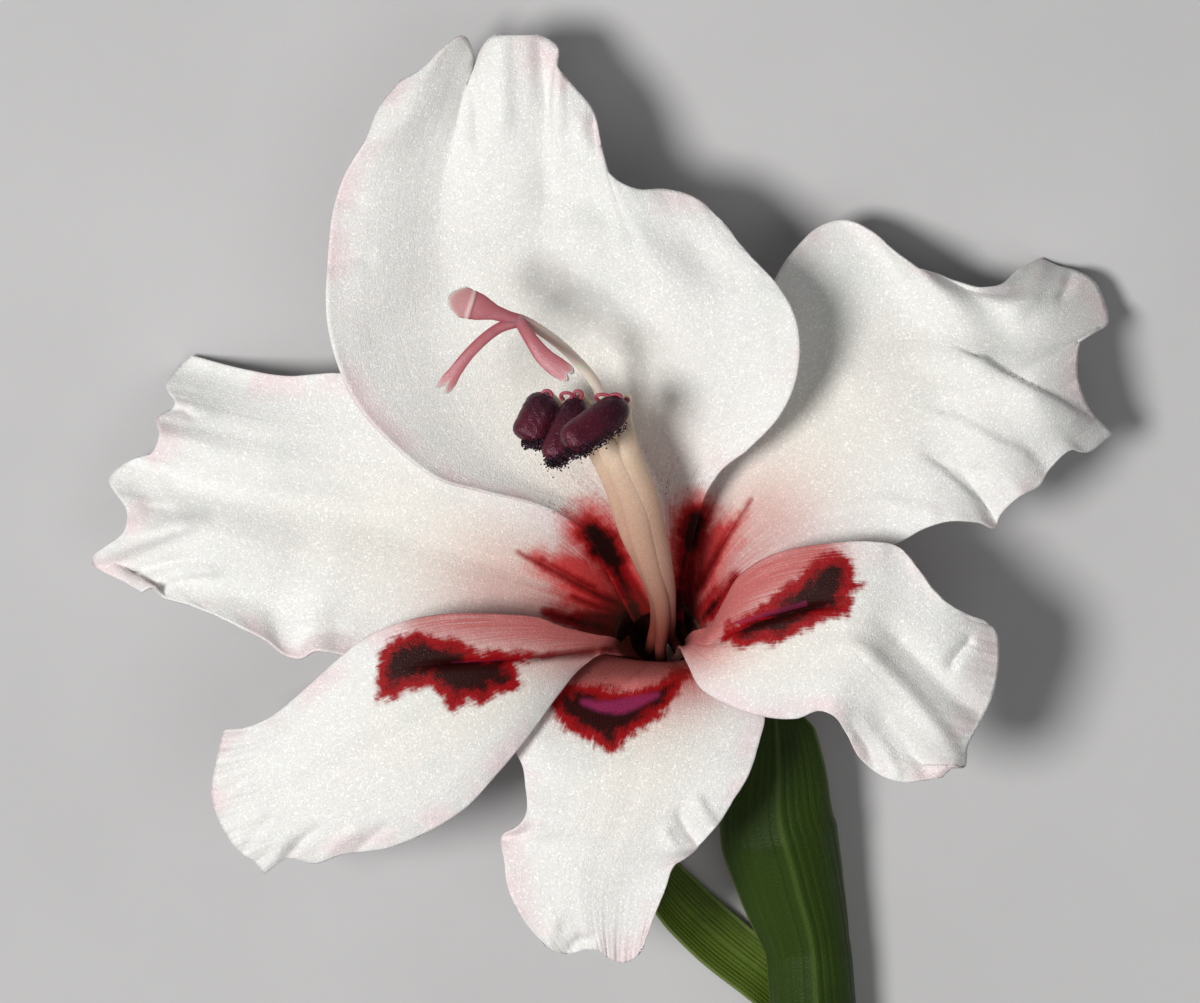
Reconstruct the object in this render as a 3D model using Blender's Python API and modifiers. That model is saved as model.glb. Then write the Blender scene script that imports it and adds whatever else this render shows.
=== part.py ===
"""A gladiolus bloom as picked, lying on its back: six ruffled tepals round a curved tube, three stamens, a
forked style, and the ovary in its two green bracts.

The flower is drawn in its own frame, in millimetres: the throat is the origin, X runs to the bloom's right,
Y up to its dorsal tepal and Z out of its face. Three named points then say how it lies on the ground.
"""

import math

import bmesh
import bpy
import numpy as np
from mathutils import Matrix, Vector

MM = 0.001
TEPAL_WALL = 0.6
BRACT_WALL = 0.6
TUBE_WALL = 0.7
SEAT_GAP = 0.7
FOOT_PRESS = 0.3

ACROSS_TEPAL = 12
ALONG_TEPAL = 18
BASE_CROWDING = 1.25
RUFFLE_REACH = 3.5
END_REACH = 2.5
SMOOTHING = 0.055

# The tube's mouth: the ring on which the tepals sit, facing out of the throat and a little up
MOUTH = Vector((0.3, -0.2, -6.0))
MOUTH_AXIS = Vector((0.0, 0.42, 0.91)).normalized()
INNER_RING = 2.25
OUTER_RING = 3.4

# The tube's centre line from its mouth to the ovary, and its radius at each point
TUBE_PATH = [(0.3, -0.2, -6.0), (0.3, -0.87, -7.46), (1.7, -2.9, -8.6), (4.4, -7.0, -9.9),
             (7.2, -12.0, -10.9), (9.6, -17.6, -11.9), (11.2, -23.0, -13.1), (11.9, -26.6, -14.2)]
TUBE_RADII = [3.75, 2.85, 2.5, 2.25, 2.0, 1.85, 1.65, 1.5]

# The ovary's centre line and radii, up from the heel where the flower was snapped off
OVARY_PATH = [(13.4, -38.2, -17.1), (13.2, -36.6, -16.8), (13.1, -36.2, -16.7), (12.9, -34.6, -16.4),
              (12.6, -32.2, -15.8), (12.3, -29.8, -15.3), (12.05, -28.0, -14.8), (11.95, -27.2, -14.5)]
OVARY_RADII = [1.7, 1.9, 1.5, 1.6, 1.75, 1.65, 1.35, 1.1]

# Each tepal: which ring it sits on, the angles of its base there, its two edges from base to tip corner,
# and its tip edge from the first corner to the second. cup is how far the middle lies behind the edges.
TEPALS = {
    "tepal_dorsal": {
        "ring": INNER_RING, "angles": (146, 34), "cup": 3.6, "rib": 0.35,
        "first": [(-2.5, 3.0, -4.6), (-3.7, 5.4, -2.0), (-5.3, 8.0, 0.6), (-8.5, 10.0, 2.9),
                  (-13.1, 11.2, 4.9), (-16.4, 12.2, 6.1), (-20.6, 15.7, 7.4), (-22.6, 18.3, 8.0),
                  (-24.3, 23.3, 8.8), (-24.3, 28.8, 8.6), (-23.9, 32.2, 8.2), (-23.0, 34.8, 8.6),
                  (-21.5, 37.2, 9.2), (-20.5, 39.6, 8.8)],
        "tip": [(-18.9, 41.6, 8.4), (-17.3, 42.5, 8.8), (-15.9, 43.9, 8.8), (-14.2, 45.0, 7.6),
                (-13.4, 43.0, 6.2), (-12.4, 44.6, 7.4), (-10.8, 45.3, 8.4), (-8.9, 45.1, 8.6),
                (-7.4, 44.0, 8.2), (-6.4, 41.9, 9.0), (-5.0, 40.1, 8.6), (-4.4, 38.4, 9.0),
                (-4.1, 36.2, 8.6), (-3.2, 34.5, 8.8), (-1.4, 33.6, 8.2), (0.7, 33.6, 7.4),
                (2.9, 33.0, 7.0), (5.0, 31.2, 7.0)],
        "second": [(2.1, 2.9, -4.2), (2.4, 5.6, -1.8), (3.0, 8.5, 0.6), (3.8, 11.0, 2.5), (5.0, 12.8, 3.9),
                   (6.9, 14.3, 5.2), (9.1, 16.6, 6.6), (10.3, 19.0, 7.6), (10.7, 21.9, 8.3),
                   (10.3, 24.2, 8.5), (9.1, 26.4, 8.1), (6.7, 29.0, 7.3)],
    },
    "tepal_left": {
        "ring": OUTER_RING, "angles": (186, 128), "cup": 1.4, "rib": 0.3,
        "first": [(-3.6, -0.6, -4.3), (-4.6, -0.7, -2.9), (-6.2, -0.8, -1.4), (-8.6, -0.9, 0.0),
                  (-12.5, -1.1, 1.2), (-18.0, -1.5, 1.8), (-21.8, -1.5, 1.4), (-23.4, -1.1, 1.4),
                  (-25.4, -0.8, 1.8), (-26.6, -1.4, 0.8), (-27.8, -1.1, 0.6), (-29.0, -0.1, 1.2),
                  (-31.3, 1.1, 1.2), (-34.5, 2.5, 0.2), (-36.8, 3.2, -0.6), (-37.6, 4.0, 0.2)],
        "tip": [(-38.5, 3.6, 0.0), (-39.6, 4.2, -0.9), (-42.4, 5.9, -2.6), (-39.8, 8.2, 0.2),
                (-39.6, 9.6, 0.4), (-41.0, 12.1, -2.0), (-39.4, 13.5, -1.6), (-37.8, 14.0, -0.2),
                (-37.2, 15.3, 0.0), (-37.4, 16.6, -1.4), (-36.1, 17.6, -1.6), (-36.8, 19.1, -3.8),
                (-35.9, 20.5, -4.9), (-34.9, 21.4, -4.5)],
        "second": [(-2.6, 3.9, -5.8), (-3.8, 6.2, -3.8), (-6.0, 9.0, -1.6), (-10.2, 12.6, 0.4),
                   (-15.5, 17.0, 1.4), (-20.5, 19.6, 1.2), (-23.8, 20.0, 0.8), (-27.5, 19.8, 0.0),
                   (-30.7, 20.3, -1.8)],
    },
    "tepal_right": {
        "ring": OUTER_RING, "angles": (52, -6), "cup": 1.4, "rib": 0.3,
        "first": [(2.2, 4.4, -6.2), (2.0, 7.0, -4.8), (2.4, 10.0, -2.8), (3.6, 13.6, -0.8), (5.4, 17.4, 1.0),
                  (7.0, 21.2, 2.0), (8.2, 25.0, 2.4), (9.3, 27.6, 2.2), (10.6, 29.4, 1.6), (12.3, 31.0, 0.8),
                  (14.2, 31.5, 0.4), (16.2, 30.6, 1.2), (17.6, 29.3, 2.4), (19.4, 28.0, 2.6),
                  (21.5, 27.3, 0.8), (23.8, 26.5, 0.9), (25.8, 26.6, 0.0), (27.3, 27.8, -2.4)],
        "tip": [(29.1, 28.7, -4.9), (30.4, 28.1, -4.6), (31.8, 27.7, -3.2), (33.1, 26.9, -3.0),
                (33.9, 25.2, -3.2), (34.1, 23.9, -2.2), (33.0, 23.2, -0.4), (31.9, 22.4, 0.6),
                (31.6, 20.1, 1.0), (32.1, 18.2, 0.4), (33.0, 16.8, -1.0), (34.4, 15.5, -2.6)],
        "second": [(3.4, 0.1, -4.8), (3.5, 0.8, -3.7), (4.2, 1.9, -2.3), (6.1, 4.2, -0.2), (9.5, 5.4, 1.3),
                   (13.0, 6.0, 1.8), (18.1, 7.3, 1.9), (20.0, 8.3, 2.1), (22.0, 8.9, 2.4),
                   (24.3, 8.8, 1.8), (25.5, 8.4, 0.8), (25.9, 9.4, 1.2), (27.2, 10.7, 1.8),
                   (28.8, 11.6, 1.0), (29.4, 12.6, 0.6), (31.0, 14.2, 0.8), (32.5, 14.1, -1.0)],
    },
    "tepal_lower_left": {
        "ring": INNER_RING, "angles": (236, 174), "cup": -0.9, "rib": 0.5,
        "first": [(-1.8, -1.3, -3.1), (-2.7, -1.1, -1.0), (-4.0, -1.0, 0.8), (-5.7, -2.1, 1.9),
                  (-7.2, -3.9, 2.9), (-9.9, -7.6, 3.9), (-12.0, -10.1, 4.1), (-14.0, -12.3, 3.8),
                  (-16.7, -14.1, 3.2), (-20.1, -15.5, 2.4), (-23.5, -16.0, 1.8), (-25.5, -16.7, 0.6),
                  (-27.5, -16.3, 0.9)],
        "tip": [(-29.3, -17.5, -0.8), (-30.1, -16.6, -0.2), (-31.2, -15.8, 0.2), (-32.7, -13.4, 0.6),
                (-33.2, -11.4, 1.0), (-32.8, -8.8, 0.6), (-32.3, -6.7, 0.2)],
        "second": [(-2.5, -0.2, -3.2), (-3.2, 0.2, -1.0), (-4.6, 0.4, 0.8), (-7.0, 1.0, 2.6),
                   (-8.8, 1.7, 3.5), (-13.0, 2.0, 4.7), (-15.5, 2.0, 5.1), (-18.5, 1.5, 5.3),
                   (-21.3, 0.4, 5.0), (-23.3, -1.1, 4.6), (-26.1, -3.6, 3.6), (-28.5, -5.6, 2.6),
                   (-30.5, -6.5, 1.6)],
    },
    "tepal_lower_middle": {
        "ring": OUTER_RING, "angles": (306, 234), "cup": -0.5, "rib": 0.4,
        "first": [(2.8, -2.1, -3.9), (3.2, -1.6, -2.9), (3.7, -1.2, -2.0), (4.7, -1.5, -1.0), (6.4, -2.6, 0.0),
                  (7.8, -4.4, 1.1), (8.2, -5.8, 1.9), (7.8, -7.5, 2.5), (7.0, -10.0, 3.1), (5.9, -11.8, 3.1),
                  (4.7, -13.7, 2.6), (3.4, -15.2, 2.8), (2.6, -16.0, 2.0), (1.4, -16.9, 1.8),
                  (0.8, -18.5, 2.0), (-0.2, -21.0, 1.4)],
        "tip": [(-0.9, -23.0, 0.8), (-1.5, -23.8, 0.3), (-2.5, -24.2, 0.0), (-3.5, -23.8, 0.4),
                (-4.3, -23.2, 0.9), (-5.2, -23.2, 0.8), (-6.3, -23.5, 0.4), (-7.3, -23.4, 0.3),
                (-8.1, -23.0, 0.4)],
        "second": [(-2.9, -2.5, -4.7), (-3.8, -2.0, -3.8), (-4.9, -1.3, -2.4), (-6.3, -1.7, -1.0),
                   (-8.2, -3.3, 0.5), (-10.2, -6.0, 1.7), (-10.6, -7.8, 2.2), (-9.9, -9.4, 2.4),
                   (-9.7, -10.8, 2.5), (-9.6, -12.8, 3.0), (-10.3, -13.9, 2.6), (-11.5, -14.7, 1.6),
                   (-11.3, -16.4, 1.8), (-11.0, -18.5, 1.8), (-9.8, -21.0, 1.2)],
    },
    "tepal_lower_right": {
        "ring": INNER_RING, "angles": (-14, -72), "cup": -0.9, "rib": 0.5,
        "first": [(2.4, 0.0, -3.4), (2.9, 0.6, -1.2), (4.2, 1.1, 0.8), (5.2, 2.9, 2.2), (6.4, 4.9, 3.3),
                  (9.0, 6.5, 4.5), (12.5, 7.2, 5.1), (15.9, 7.4, 5.1), (18.1, 7.0, 4.7), (19.5, 5.5, 4.8),
                  (21.0, 3.5, 4.7), (22.8, 2.2, 3.8)],
        "tip": [(24.6, 1.5, 2.4), (25.5, 0.6, 1.8), (25.7, -1.4, 1.6), (25.3, -3.9, 1.6), (24.3, -6.2, 1.8),
                (23.4, -7.8, 1.6), (23.2, -9.5, -0.2), (22.4, -9.4, 0.8), (21.5, -10.2, 1.2)],
        "second": [(1.5, -1.1, -3.4), (1.8, -0.5, -1.4), (2.5, -1.8, 0.6), (3.5, -3.6, 1.95),
                   (5.6, -4.8, 2.8), (7.9, -5.6, 3.1), (10.5, -5.8, 3.5), (12.2, -5.2, 4.3),
                   (13.3, -5.6, 4.5), (14.3, -7.0, 3.6), (15.3, -8.8, 2.2), (16.9, -10.1, 1.6),
                   (18.7, -10.6, 1.9), (20.4, -10.4, 1.9)],
    },
}

# Each stamen: its filament's points from the tube wall to the anther, and its anther's two ends
STAMENS = {
    "1": ([(-0.6, -1.5, -7.9), (-0.4, -0.2, -6.0), (-0.2, 1.6, -3.0), (-0.35, 3.6, -0.2), (-1.2, 5.8, 2.6),
           (-2.0, 7.8, 4.9), (-2.85, 11.2, 7.3), (-4.45, 14.3, 8.6), (-6.5, 16.8, 8.9), (-7.85, 18.4, 9.0),
           (-8.25, 19.3, 9.6), (-8.05, 19.15, 10.5)],
          ((-7.9, 18.3, 10.7), (-9.6, 14.8, 11.4)), 1.4),
    "2": ([(0.6, -2.4, -7.0), (0.45, -1.1, -5.6), (0.55, 0.5, -2.6), (0.5, 2.6, 0.3), (-0.15, 4.9, 3.3),
           (-0.85, 7.2, 5.8), (-1.75, 10.6, 8.5), (-3.45, 14.2, 10.0), (-4.6, 16.6, 9.9), (-5.4, 18.2, 10.1),
           (-5.9, 19.2, 10.7), (-5.75, 18.95, 11.6)],
          ((-5.6, 18.1, 11.8), (-7.8, 13.4, 12.9)), 1.05),
    "3": ([(1.9, -0.8, -7.1), (1.45, 0.1, -5.9), (1.35, 1.7, -3.0), (1.35, 3.6, -0.2), (0.8, 5.8, 2.6),
           (0.2, 7.8, 4.9), (-0.5, 11.0, 7.4), (-1.7, 14.0, 8.9), (-2.2, 16.2, 9.7), (-2.2, 17.9, 10.9),
           (-2.1, 18.75, 12.2), (-2.1, 18.5, 13.4)],
          ((-2.2, 17.7, 13.5), (-6.7, 14.5, 15.7)), 1.3),
}
FILAMENT_RADII = (0.4, 0.45, 0.55, 0.55, 0.5, 0.28)

# The style from just above the ovary, and its three stigma branches from the fork
STYLE_PATH = [(11.7, -25.4, -13.8), (9.5, -17.6, -11.8), (7.1, -11.9, -10.8), (4.4, -6.9, -9.7),
              (1.9, -2.9, -8.5), (0.9, -0.9, -7.7), (0.5, 0.8, -6.3), (0.6, 2.8, -3.8), (0.5, 5.0, -1.2),
              (-0.2, 7.4, 1.6), (-1.0, 9.6, 3.8), (-2.0, 12.6, 6.0), (-3.2, 15.4, 7.6), (-3.9, 17.4, 9.0),
              (-4.3, 18.8, 10.6), (-5.3, 20.2, 12.4), (-7.4, 22.2, 14.2), (-9.4, 23.5, 15.4),
              (-10.3, 23.9, 15.8)]
STYLE_RADIUS = 0.42
STIGMAS = [[(-10.0, 23.8, 15.9), (-11.6, 24.2, 16.6), (-13.2, 24.8, 17.2), (-14.9, 25.2, 17.4)],
           [(-10.0, 23.7, 15.9), (-11.8, 23.0, 16.3), (-13.8, 21.2, 16.6), (-15.4, 18.8, 16.4)],
           [(-10.1, 23.8, 15.9), (-9.6, 22.2, 17.0), (-8.4, 20.8, 17.6), (-6.5, 19.6, 17.8)]]
STIGMA_RADII = (0.36, 0.34, 0.5, 0.95)

# Each bract: its centre line up from the heel, its radius round it, the half angle that it wraps there,
# and the way that its open side turns away from
BRACTS = {
    "bract_outer": {
        "path": [(13.2, -36.5, -16.8), (12.7, -32.5, -15.9), (12.1, -28.0, -14.8), (11.6, -23.4, -13.6),
                 (10.2, -18.6, -12.7), (9.0, -14.0, -11.8), (8.8, -9.0, -10.7), (8.7, -5.0, -9.7),
                 (8.9, -1.4, -8.5)],
        "radius": [2.6, 3.0, 3.1, 3.2, 4.2, 5.2, 5.3, 5.0, 4.4],
        "wrap": [98, 95, 90, 80, 68, 58, 48, 36, 3],
        "facing": [(0.05, 0.1, 1.0), (0.1, 0.1, 1.0)],
    },
    "bract_inner": {
        "path": [(13.2, -36.5, -16.8), (12.7, -32.5, -15.9), (12.2, -29.4, -15.3), (10.8, -27.8, -14.5),
                 (8.5, -25.6, -13.3), (6.0, -23.4, -12.8), (3.6, -21.0, -12.1), (1.4, -18.4, -11.2),
                 (-1.0, -15.6, -9.9)],
        "radius": [2.6, 2.45, 2.4, 2.9, 3.2, 3.2, 3.1, 2.8, 2.2],
        "wrap": [62, 66, 66, 46, 42, 44, 44, 42, 4],
        "facing": [(0.0, 0.1, -1.0), (-0.6, 0.1, -0.9)],
    },
}
ACROSS_BRACT = 8
ALONG_BRACT = 14

# The three low points on which the bloom lies: two curled tepal corners and the inner bract's keel
REST_POINTS = (Vector((-35.9, 20.6, -4.9)), Vector((29.6, 28.6, -4.9)), Vector((12.4, -31.0, -18.3)))

COLOURS = {
    "petal_white": ((0.86, 0.84, 0.83), 0.55),
    "filament_cream": ((0.78, 0.66, 0.48), 0.5),
    "anther_purple": ((0.09, 0.02, 0.05), 0.45),
    "stigma_pink": ((0.62, 0.17, 0.23), 0.45),
    "bract_green": ((0.10, 0.20, 0.03), 0.5),
    "ovary_green": ((0.30, 0.42, 0.14), 0.5),
}


def smooth_curve(points, count):
    """count points spread evenly along the smooth curve through the given points."""
    p = np.array(points, float)
    p = np.vstack([2 * p[0] - p[1], p, 2 * p[-1] - p[-2]])
    knots = np.concatenate([[0], np.cumsum(np.linalg.norm(np.diff(p, axis=0), axis=1) ** 0.5)])
    fine = []
    for i in range(1, len(p) - 2):
        t0, t1, t2, t3 = knots[i - 1:i + 3]
        t = np.linspace(t1, t2, 24, endpoint=False)[:, None]
        a1 = (t1 - t) / (t1 - t0) * p[i - 1] + (t - t0) / (t1 - t0) * p[i]
        a2 = (t2 - t) / (t2 - t1) * p[i] + (t - t1) / (t2 - t1) * p[i + 1]
        a3 = (t3 - t) / (t3 - t2) * p[i + 1] + (t - t2) / (t3 - t2) * p[i + 2]
        b1 = (t2 - t) / (t2 - t0) * a1 + (t - t0) / (t2 - t0) * a2
        b2 = (t3 - t) / (t3 - t1) * a2 + (t - t1) / (t3 - t1) * a3
        fine.append((t2 - t) / (t2 - t1) * b1 + (t - t1) / (t2 - t1) * b2)
    fine = np.vstack(fine + [p[-2]])
    run = np.concatenate([[0], np.cumsum(np.linalg.norm(np.diff(fine, axis=0), axis=1))])
    even = np.linspace(0, run[-1], count)
    return np.stack([np.interp(even, run, fine[:, k]) for k in range(3)], axis=1)


def eased(curve, width=SMOOTHING):
    """The same curve without its ruffles: its ends stay, and its waves are averaged away."""
    n = len(curve)
    t = np.linspace(0, 1, n)[:, None]
    chord = curve[0] + (curve[-1] - curve[0]) * t
    waves = curve - chord
    odd = np.vstack([-waves[:0:-1], waves, -waves[-2::-1]])
    reach = np.arange(-n + 1, n) / (n - 1)
    kernel = np.exp(-0.5 * (reach / width) ** 2)
    kernel /= kernel.sum()
    return chord + np.stack([np.convolve(odd[:, k], kernel, "same")[n - 1:2 * n - 1] for k in range(3)], axis=1)


def ring_point(radius, degrees):
    """A point of the tube's mouth ring, lifted off the rim by the seat gap."""
    side = Vector((1, 0, 0))
    up = MOUTH_AXIS.cross(side)
    a = math.radians(degrees)
    return MOUTH + MOUTH_AXIS * SEAT_GAP + (side * math.cos(a) + up * math.sin(a)) * radius


def sample(curve, t):
    """The curve's points at the fractions t of its length."""
    place = np.linspace(0, 1, len(curve))
    return np.stack([np.interp(t, place, curve[:, k]) for k in range(3)], axis=-1)


def tepal_points(spec, u, v):
    """The tepal's points at u across (0 to 1) and v from base to tip: a patch between its four edges, whose
    ruffles die away inwards, cupped in the middle and creased along its rib."""
    first_angle, second_angle = spec["angles"]
    arc = [ring_point(spec["ring"], a) for a in np.linspace(first_angle, second_angle, 9)]
    first = smooth_curve([tuple(arc[0])] + spec["first"] + [spec["tip"][0]], 240)
    second = smooth_curve([tuple(arc[-1])] + spec["second"] + [spec["tip"][-1]], 240)
    base = smooth_curve([tuple(p) for p in arc], 240)
    tip = smooth_curve(spec["tip"], 240)
    plain = [eased(c) for c in (first, second, tip)]
    su, sv = u[..., None], v[..., None]
    a, b, s, t = sample(plain[0], v), sample(plain[1], v), sample(base, u), sample(plain[2], u)
    base_bow = s - (1 - su) * base[0] - su * base[-1]
    tip_bow = t - (1 - su) * tip[0] - su * tip[-1]
    points = (1 - su) * a + su * b + (1 - sv) ** END_REACH * base_bow + sv ** END_REACH * tip_bow
    points += (1 - su) ** RUFFLE_REACH * (sample(first, v) - a)
    points += su ** RUFFLE_REACH * (sample(second, v) - b)
    points += sv ** (2 * RUFFLE_REACH) * (sample(tip, u) - t)
    hollow = (4 * u * (1 - u)) ** 0.8 * np.sin(math.pi * v) ** 1.4
    crease = np.exp(-((u - 0.5) / 0.05) ** 2) * np.sin(math.pi * v) ** 0.5
    points[..., 2] -= spec["cup"] * hollow + spec["rib"] * crease
    return points


def material(name):
    """A plain Principled material of the given name."""
    colour, roughness = COLOURS[name]
    made = bpy.data.materials.new(name)
    made.use_nodes = True
    shader = made.node_tree.nodes["Principled BSDF"]
    shader.inputs["Base Color"].default_value = (*colour, 1)
    shader.inputs["Roughness"].default_value = roughness
    shader.inputs["Metallic"].default_value = 0
    return made


def lying_matrix():
    """Turns the flower's frame so that the plane through the three rest points is the ground, in metres."""
    a, b, c = REST_POINTS
    up = (b - a).cross(c - a).normalized()
    up = up if up.z > 0 else -up
    across = (Vector((1, 0, 0)) - up * up.x).normalized()
    turn = Matrix((across, up.cross(across), up)).to_4x4()
    return Matrix.Scale(MM, 4) @ Matrix.Translation(-(turn @ a)) @ turn


LYING = lying_matrix()


def keep(name, mesh, paint, collection):
    """An object of this mesh, drawn in the flower's frame, laid on the ground."""
    mesh.transform(LYING)
    mesh.shade_smooth()
    mesh.materials.append(paint)
    made = bpy.data.objects.new(name, mesh)
    collection.objects.link(made)
    return made


def blade(name, place, across, along, wall, paint, collection):
    """A thin blade: a grid bent by place(u, v), split into triangles alike on both faces, given its wall."""
    bm = bmesh.new()
    bmesh.ops.create_grid(bm, x_segments=across, y_segments=along, size=0.5)
    u = np.array([v.co.x + 0.5 for v in bm.verts])
    v = np.array([v.co.y + 0.5 for v in bm.verts])
    for vertex, point in zip(bm.verts, place(u, v)):
        vertex.co = point
    bmesh.ops.triangulate(bm, faces=bm.faces[:])
    mesh = bpy.data.meshes.new(name)
    bm.to_mesh(mesh)
    bm.free()
    made = keep(name, mesh, paint, collection)
    wall_maker = made.modifiers.new("wall", "SOLIDIFY")
    wall_maker.thickness = wall * MM
    wall_maker.offset = 0
    return made


def make_tepal(name, spec, paint, collection):
    def place(u, v):
        return tepal_points(spec, u, v ** BASE_CROWDING)
    return blade(name, place, ACROSS_TEPAL, ALONG_TEPAL, TEPAL_WALL, paint, collection)


def bract_points(spec, u, v):
    """A bract's points: round its centre line at its radius, wrapped less and less towards the tip."""
    line = smooth_curve(spec["path"], 200)
    centre = sample(line, v)
    ahead = sample(line, np.clip(v + 0.01, 0, 1)) - sample(line, np.clip(v - 0.01, 0, 1))
    ahead /= np.linalg.norm(ahead, axis=-1, keepdims=True)
    stations = np.linspace(0, 1, len(spec["path"]))
    radius = np.interp(v, stations, spec["radius"])[..., None]
    wrap = np.radians(np.interp(v, stations, spec["wrap"]))
    start, end = np.array(spec["facing"])
    facing = start + (end - start) * v[..., None]
    facing -= ahead * (ahead * facing).sum(-1, keepdims=True)
    facing /= np.linalg.norm(facing, axis=-1, keepdims=True)
    side = np.cross(ahead, facing)
    angle = ((2 * u - 1) * wrap)[..., None]
    return centre + radius * (facing * np.cos(angle) + side * np.sin(angle))


def make_bract(name, spec, paint, collection):
    def place(u, v):
        return bract_points(spec, u, v)
    return blade(name, place, ACROSS_BRACT, ALONG_BRACT, BRACT_WALL, paint, collection)


def rod_mesh(name, points, radii, sides_level, count, capped=True):
    """The mesh of a round curve through the points, as thick as the radii say along it."""
    line = smooth_curve(points, count)
    thick = np.interp(np.linspace(0, 1, count), np.linspace(0, 1, len(radii)), radii)
    curve = bpy.data.curves.new(name, "CURVE")
    curve.dimensions = "3D"
    curve.bevel_depth = 1.0
    curve.bevel_resolution = sides_level
    curve.use_fill_caps = capped
    spline = curve.splines.new("POLY")
    spline.points.add(count - 1)
    for point, place, radius in zip(spline.points, line, thick):
        point.co = (*place, 1)
        point.radius = radius
    guide = bpy.data.objects.new(name, curve)
    bpy.context.scene.collection.objects.link(guide)
    bpy.context.view_layer.update()
    mesh = bpy.data.meshes.new_from_object(guide.evaluated_get(bpy.context.evaluated_depsgraph_get()))
    bpy.data.objects.remove(guide)
    bm = bmesh.new()
    bm.from_mesh(mesh)
    bmesh.ops.remove_doubles(bm, verts=bm.verts[:], dist=0.001)
    bm.to_mesh(mesh)
    bm.free()
    return mesh


def make_tube(paint, collection):
    """The hollow tube, open at its mouth and at the ovary."""
    mesh = rod_mesh("perianth_tube", TUBE_PATH, TUBE_RADII, 3, 24, capped=False)
    made = keep("perianth_tube", mesh, paint, collection)
    wall_maker = made.modifiers.new("wall", "SOLIDIFY")
    wall_maker.thickness = TUBE_WALL * MM
    wall_maker.offset = -1
    return made


def make_anther(name, ends, radius, paint, collection):
    """A two-lobed anther between its ends: a ball drawn out, with a groove along the side that faces out."""
    start, end = Vector(ends[0]), Vector(ends[1])
    bm = bmesh.new()
    bmesh.ops.create_uvsphere(bm, u_segments=12, v_segments=8, radius=1)
    for vertex in bm.verts:
        x, y, z = vertex.co
        groove = 1 - 0.22 * math.exp(-(x / 0.35) ** 2) * (1 if y > 0 else 0.3)
        fullness = (1 - z * z) ** -0.12 if abs(z) < 0.99 else 1
        vertex.co = (x * radius * fullness, y * radius * 0.8 * groove * fullness, z * (end - start).length / 2)
    ahead = (end - start).normalized()
    out = (Vector((0, 0, 1)) - ahead * ahead.z).normalized()
    turn = Matrix((out.cross(ahead), out, ahead)).transposed().to_4x4()
    bmesh.ops.transform(bm, matrix=Matrix.Translation((start + end) / 2) @ turn, verts=bm.verts[:])
    mesh = bpy.data.meshes.new(name)
    bm.to_mesh(mesh)
    bm.free()
    return keep(name, mesh, paint, collection)


def make_style(paint, collection):
    """The style and its three branches, joined in one solid."""
    stem = keep("style", rod_mesh("style", STYLE_PATH, [STYLE_RADIUS] * 2, 2, 34), paint, collection)
    for number, branch in enumerate(STIGMAS):
        mesh = rod_mesh(f"stigma_{number}", branch, STIGMA_RADII, 2, 8)
        cutter = keep(f"stigma_{number}", mesh, paint, collection)
        join = stem.modifiers.new("join", "BOOLEAN")
        join.operation = "UNION"
        join.object = cutter
        apply_modifiers(stem)
        bpy.data.objects.remove(cutter)
    return stem


def apply_modifiers(made):
    """Makes the object's mesh what its modifiers show."""
    bpy.context.view_layer.update()
    graph = bpy.context.evaluated_depsgraph_get()
    mesh = bpy.data.meshes.new_from_object(made.evaluated_get(graph))
    mesh.name = made.name
    made.modifiers.clear()
    made.data = mesh


def press_feet(feet):
    """Presses a small flat spot where each foot meets the ground, and sets everything on it."""
    for made in feet:
        apply_modifiers(made)
        low = min(v.co.z for v in made.data.vertices)
        for vertex in made.data.vertices:
            if vertex.co.z < low + FOOT_PRESS * MM:
                vertex.co.z = -FOOT_PRESS * MM


def centre_on_ground(collection):
    """Moves all so that the middle of the ground under the bloom is the origin."""
    bpy.context.view_layer.update()
    graph = bpy.context.evaluated_depsgraph_get()
    corners = []
    for made in collection.objects:
        mesh = made.evaluated_get(graph).to_mesh()
        corners += [tuple(v.co) for v in mesh.vertices]
    low, high = np.min(corners, axis=0), np.max(corners, axis=0)
    shift = Matrix.Translation((-(low[0] + high[0]) / 2, -(low[1] + high[1]) / 2, -low[2]))
    for made in collection.objects:
        made.data.transform(shift)


def main():
    for old in list(bpy.data.objects):
        bpy.data.objects.remove(old)
    collection = bpy.data.collections.new("gladiolus_bloom")
    bpy.context.scene.collection.children.link(collection)
    paint = {name: material(name) for name in COLOURS}
    tepals = {name: make_tepal(name, spec, paint["petal_white"], collection) for name, spec in TEPALS.items()}
    make_tube(paint["petal_white"], collection)
    for number, (line, ends, radius) in STAMENS.items():
        mesh = rod_mesh(f"filament_{number}", line, FILAMENT_RADII, 2, 16)
        keep(f"filament_{number}", mesh, paint["filament_cream"], collection)
        make_anther(f"anther_{number}", ends, radius, paint["anther_purple"], collection)
    make_style(paint["stigma_pink"], collection)
    mesh = rod_mesh("ovary", OVARY_PATH, OVARY_RADII, 4, 14)
    keep("ovary", mesh, paint["ovary_green"], collection)
    bracts = {name: make_bract(name, spec, paint["bract_green"], collection) for name, spec in BRACTS.items()}
    press_feet([tepals["tepal_left"], tepals["tepal_right"], bracts["bract_inner"]])
    centre_on_ground(collection)


main()
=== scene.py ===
import math

import bpy
import numpy as np
from bpy.props import FloatProperty, FloatVectorProperty, PointerProperty
from mathutils import Matrix, Vector


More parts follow.
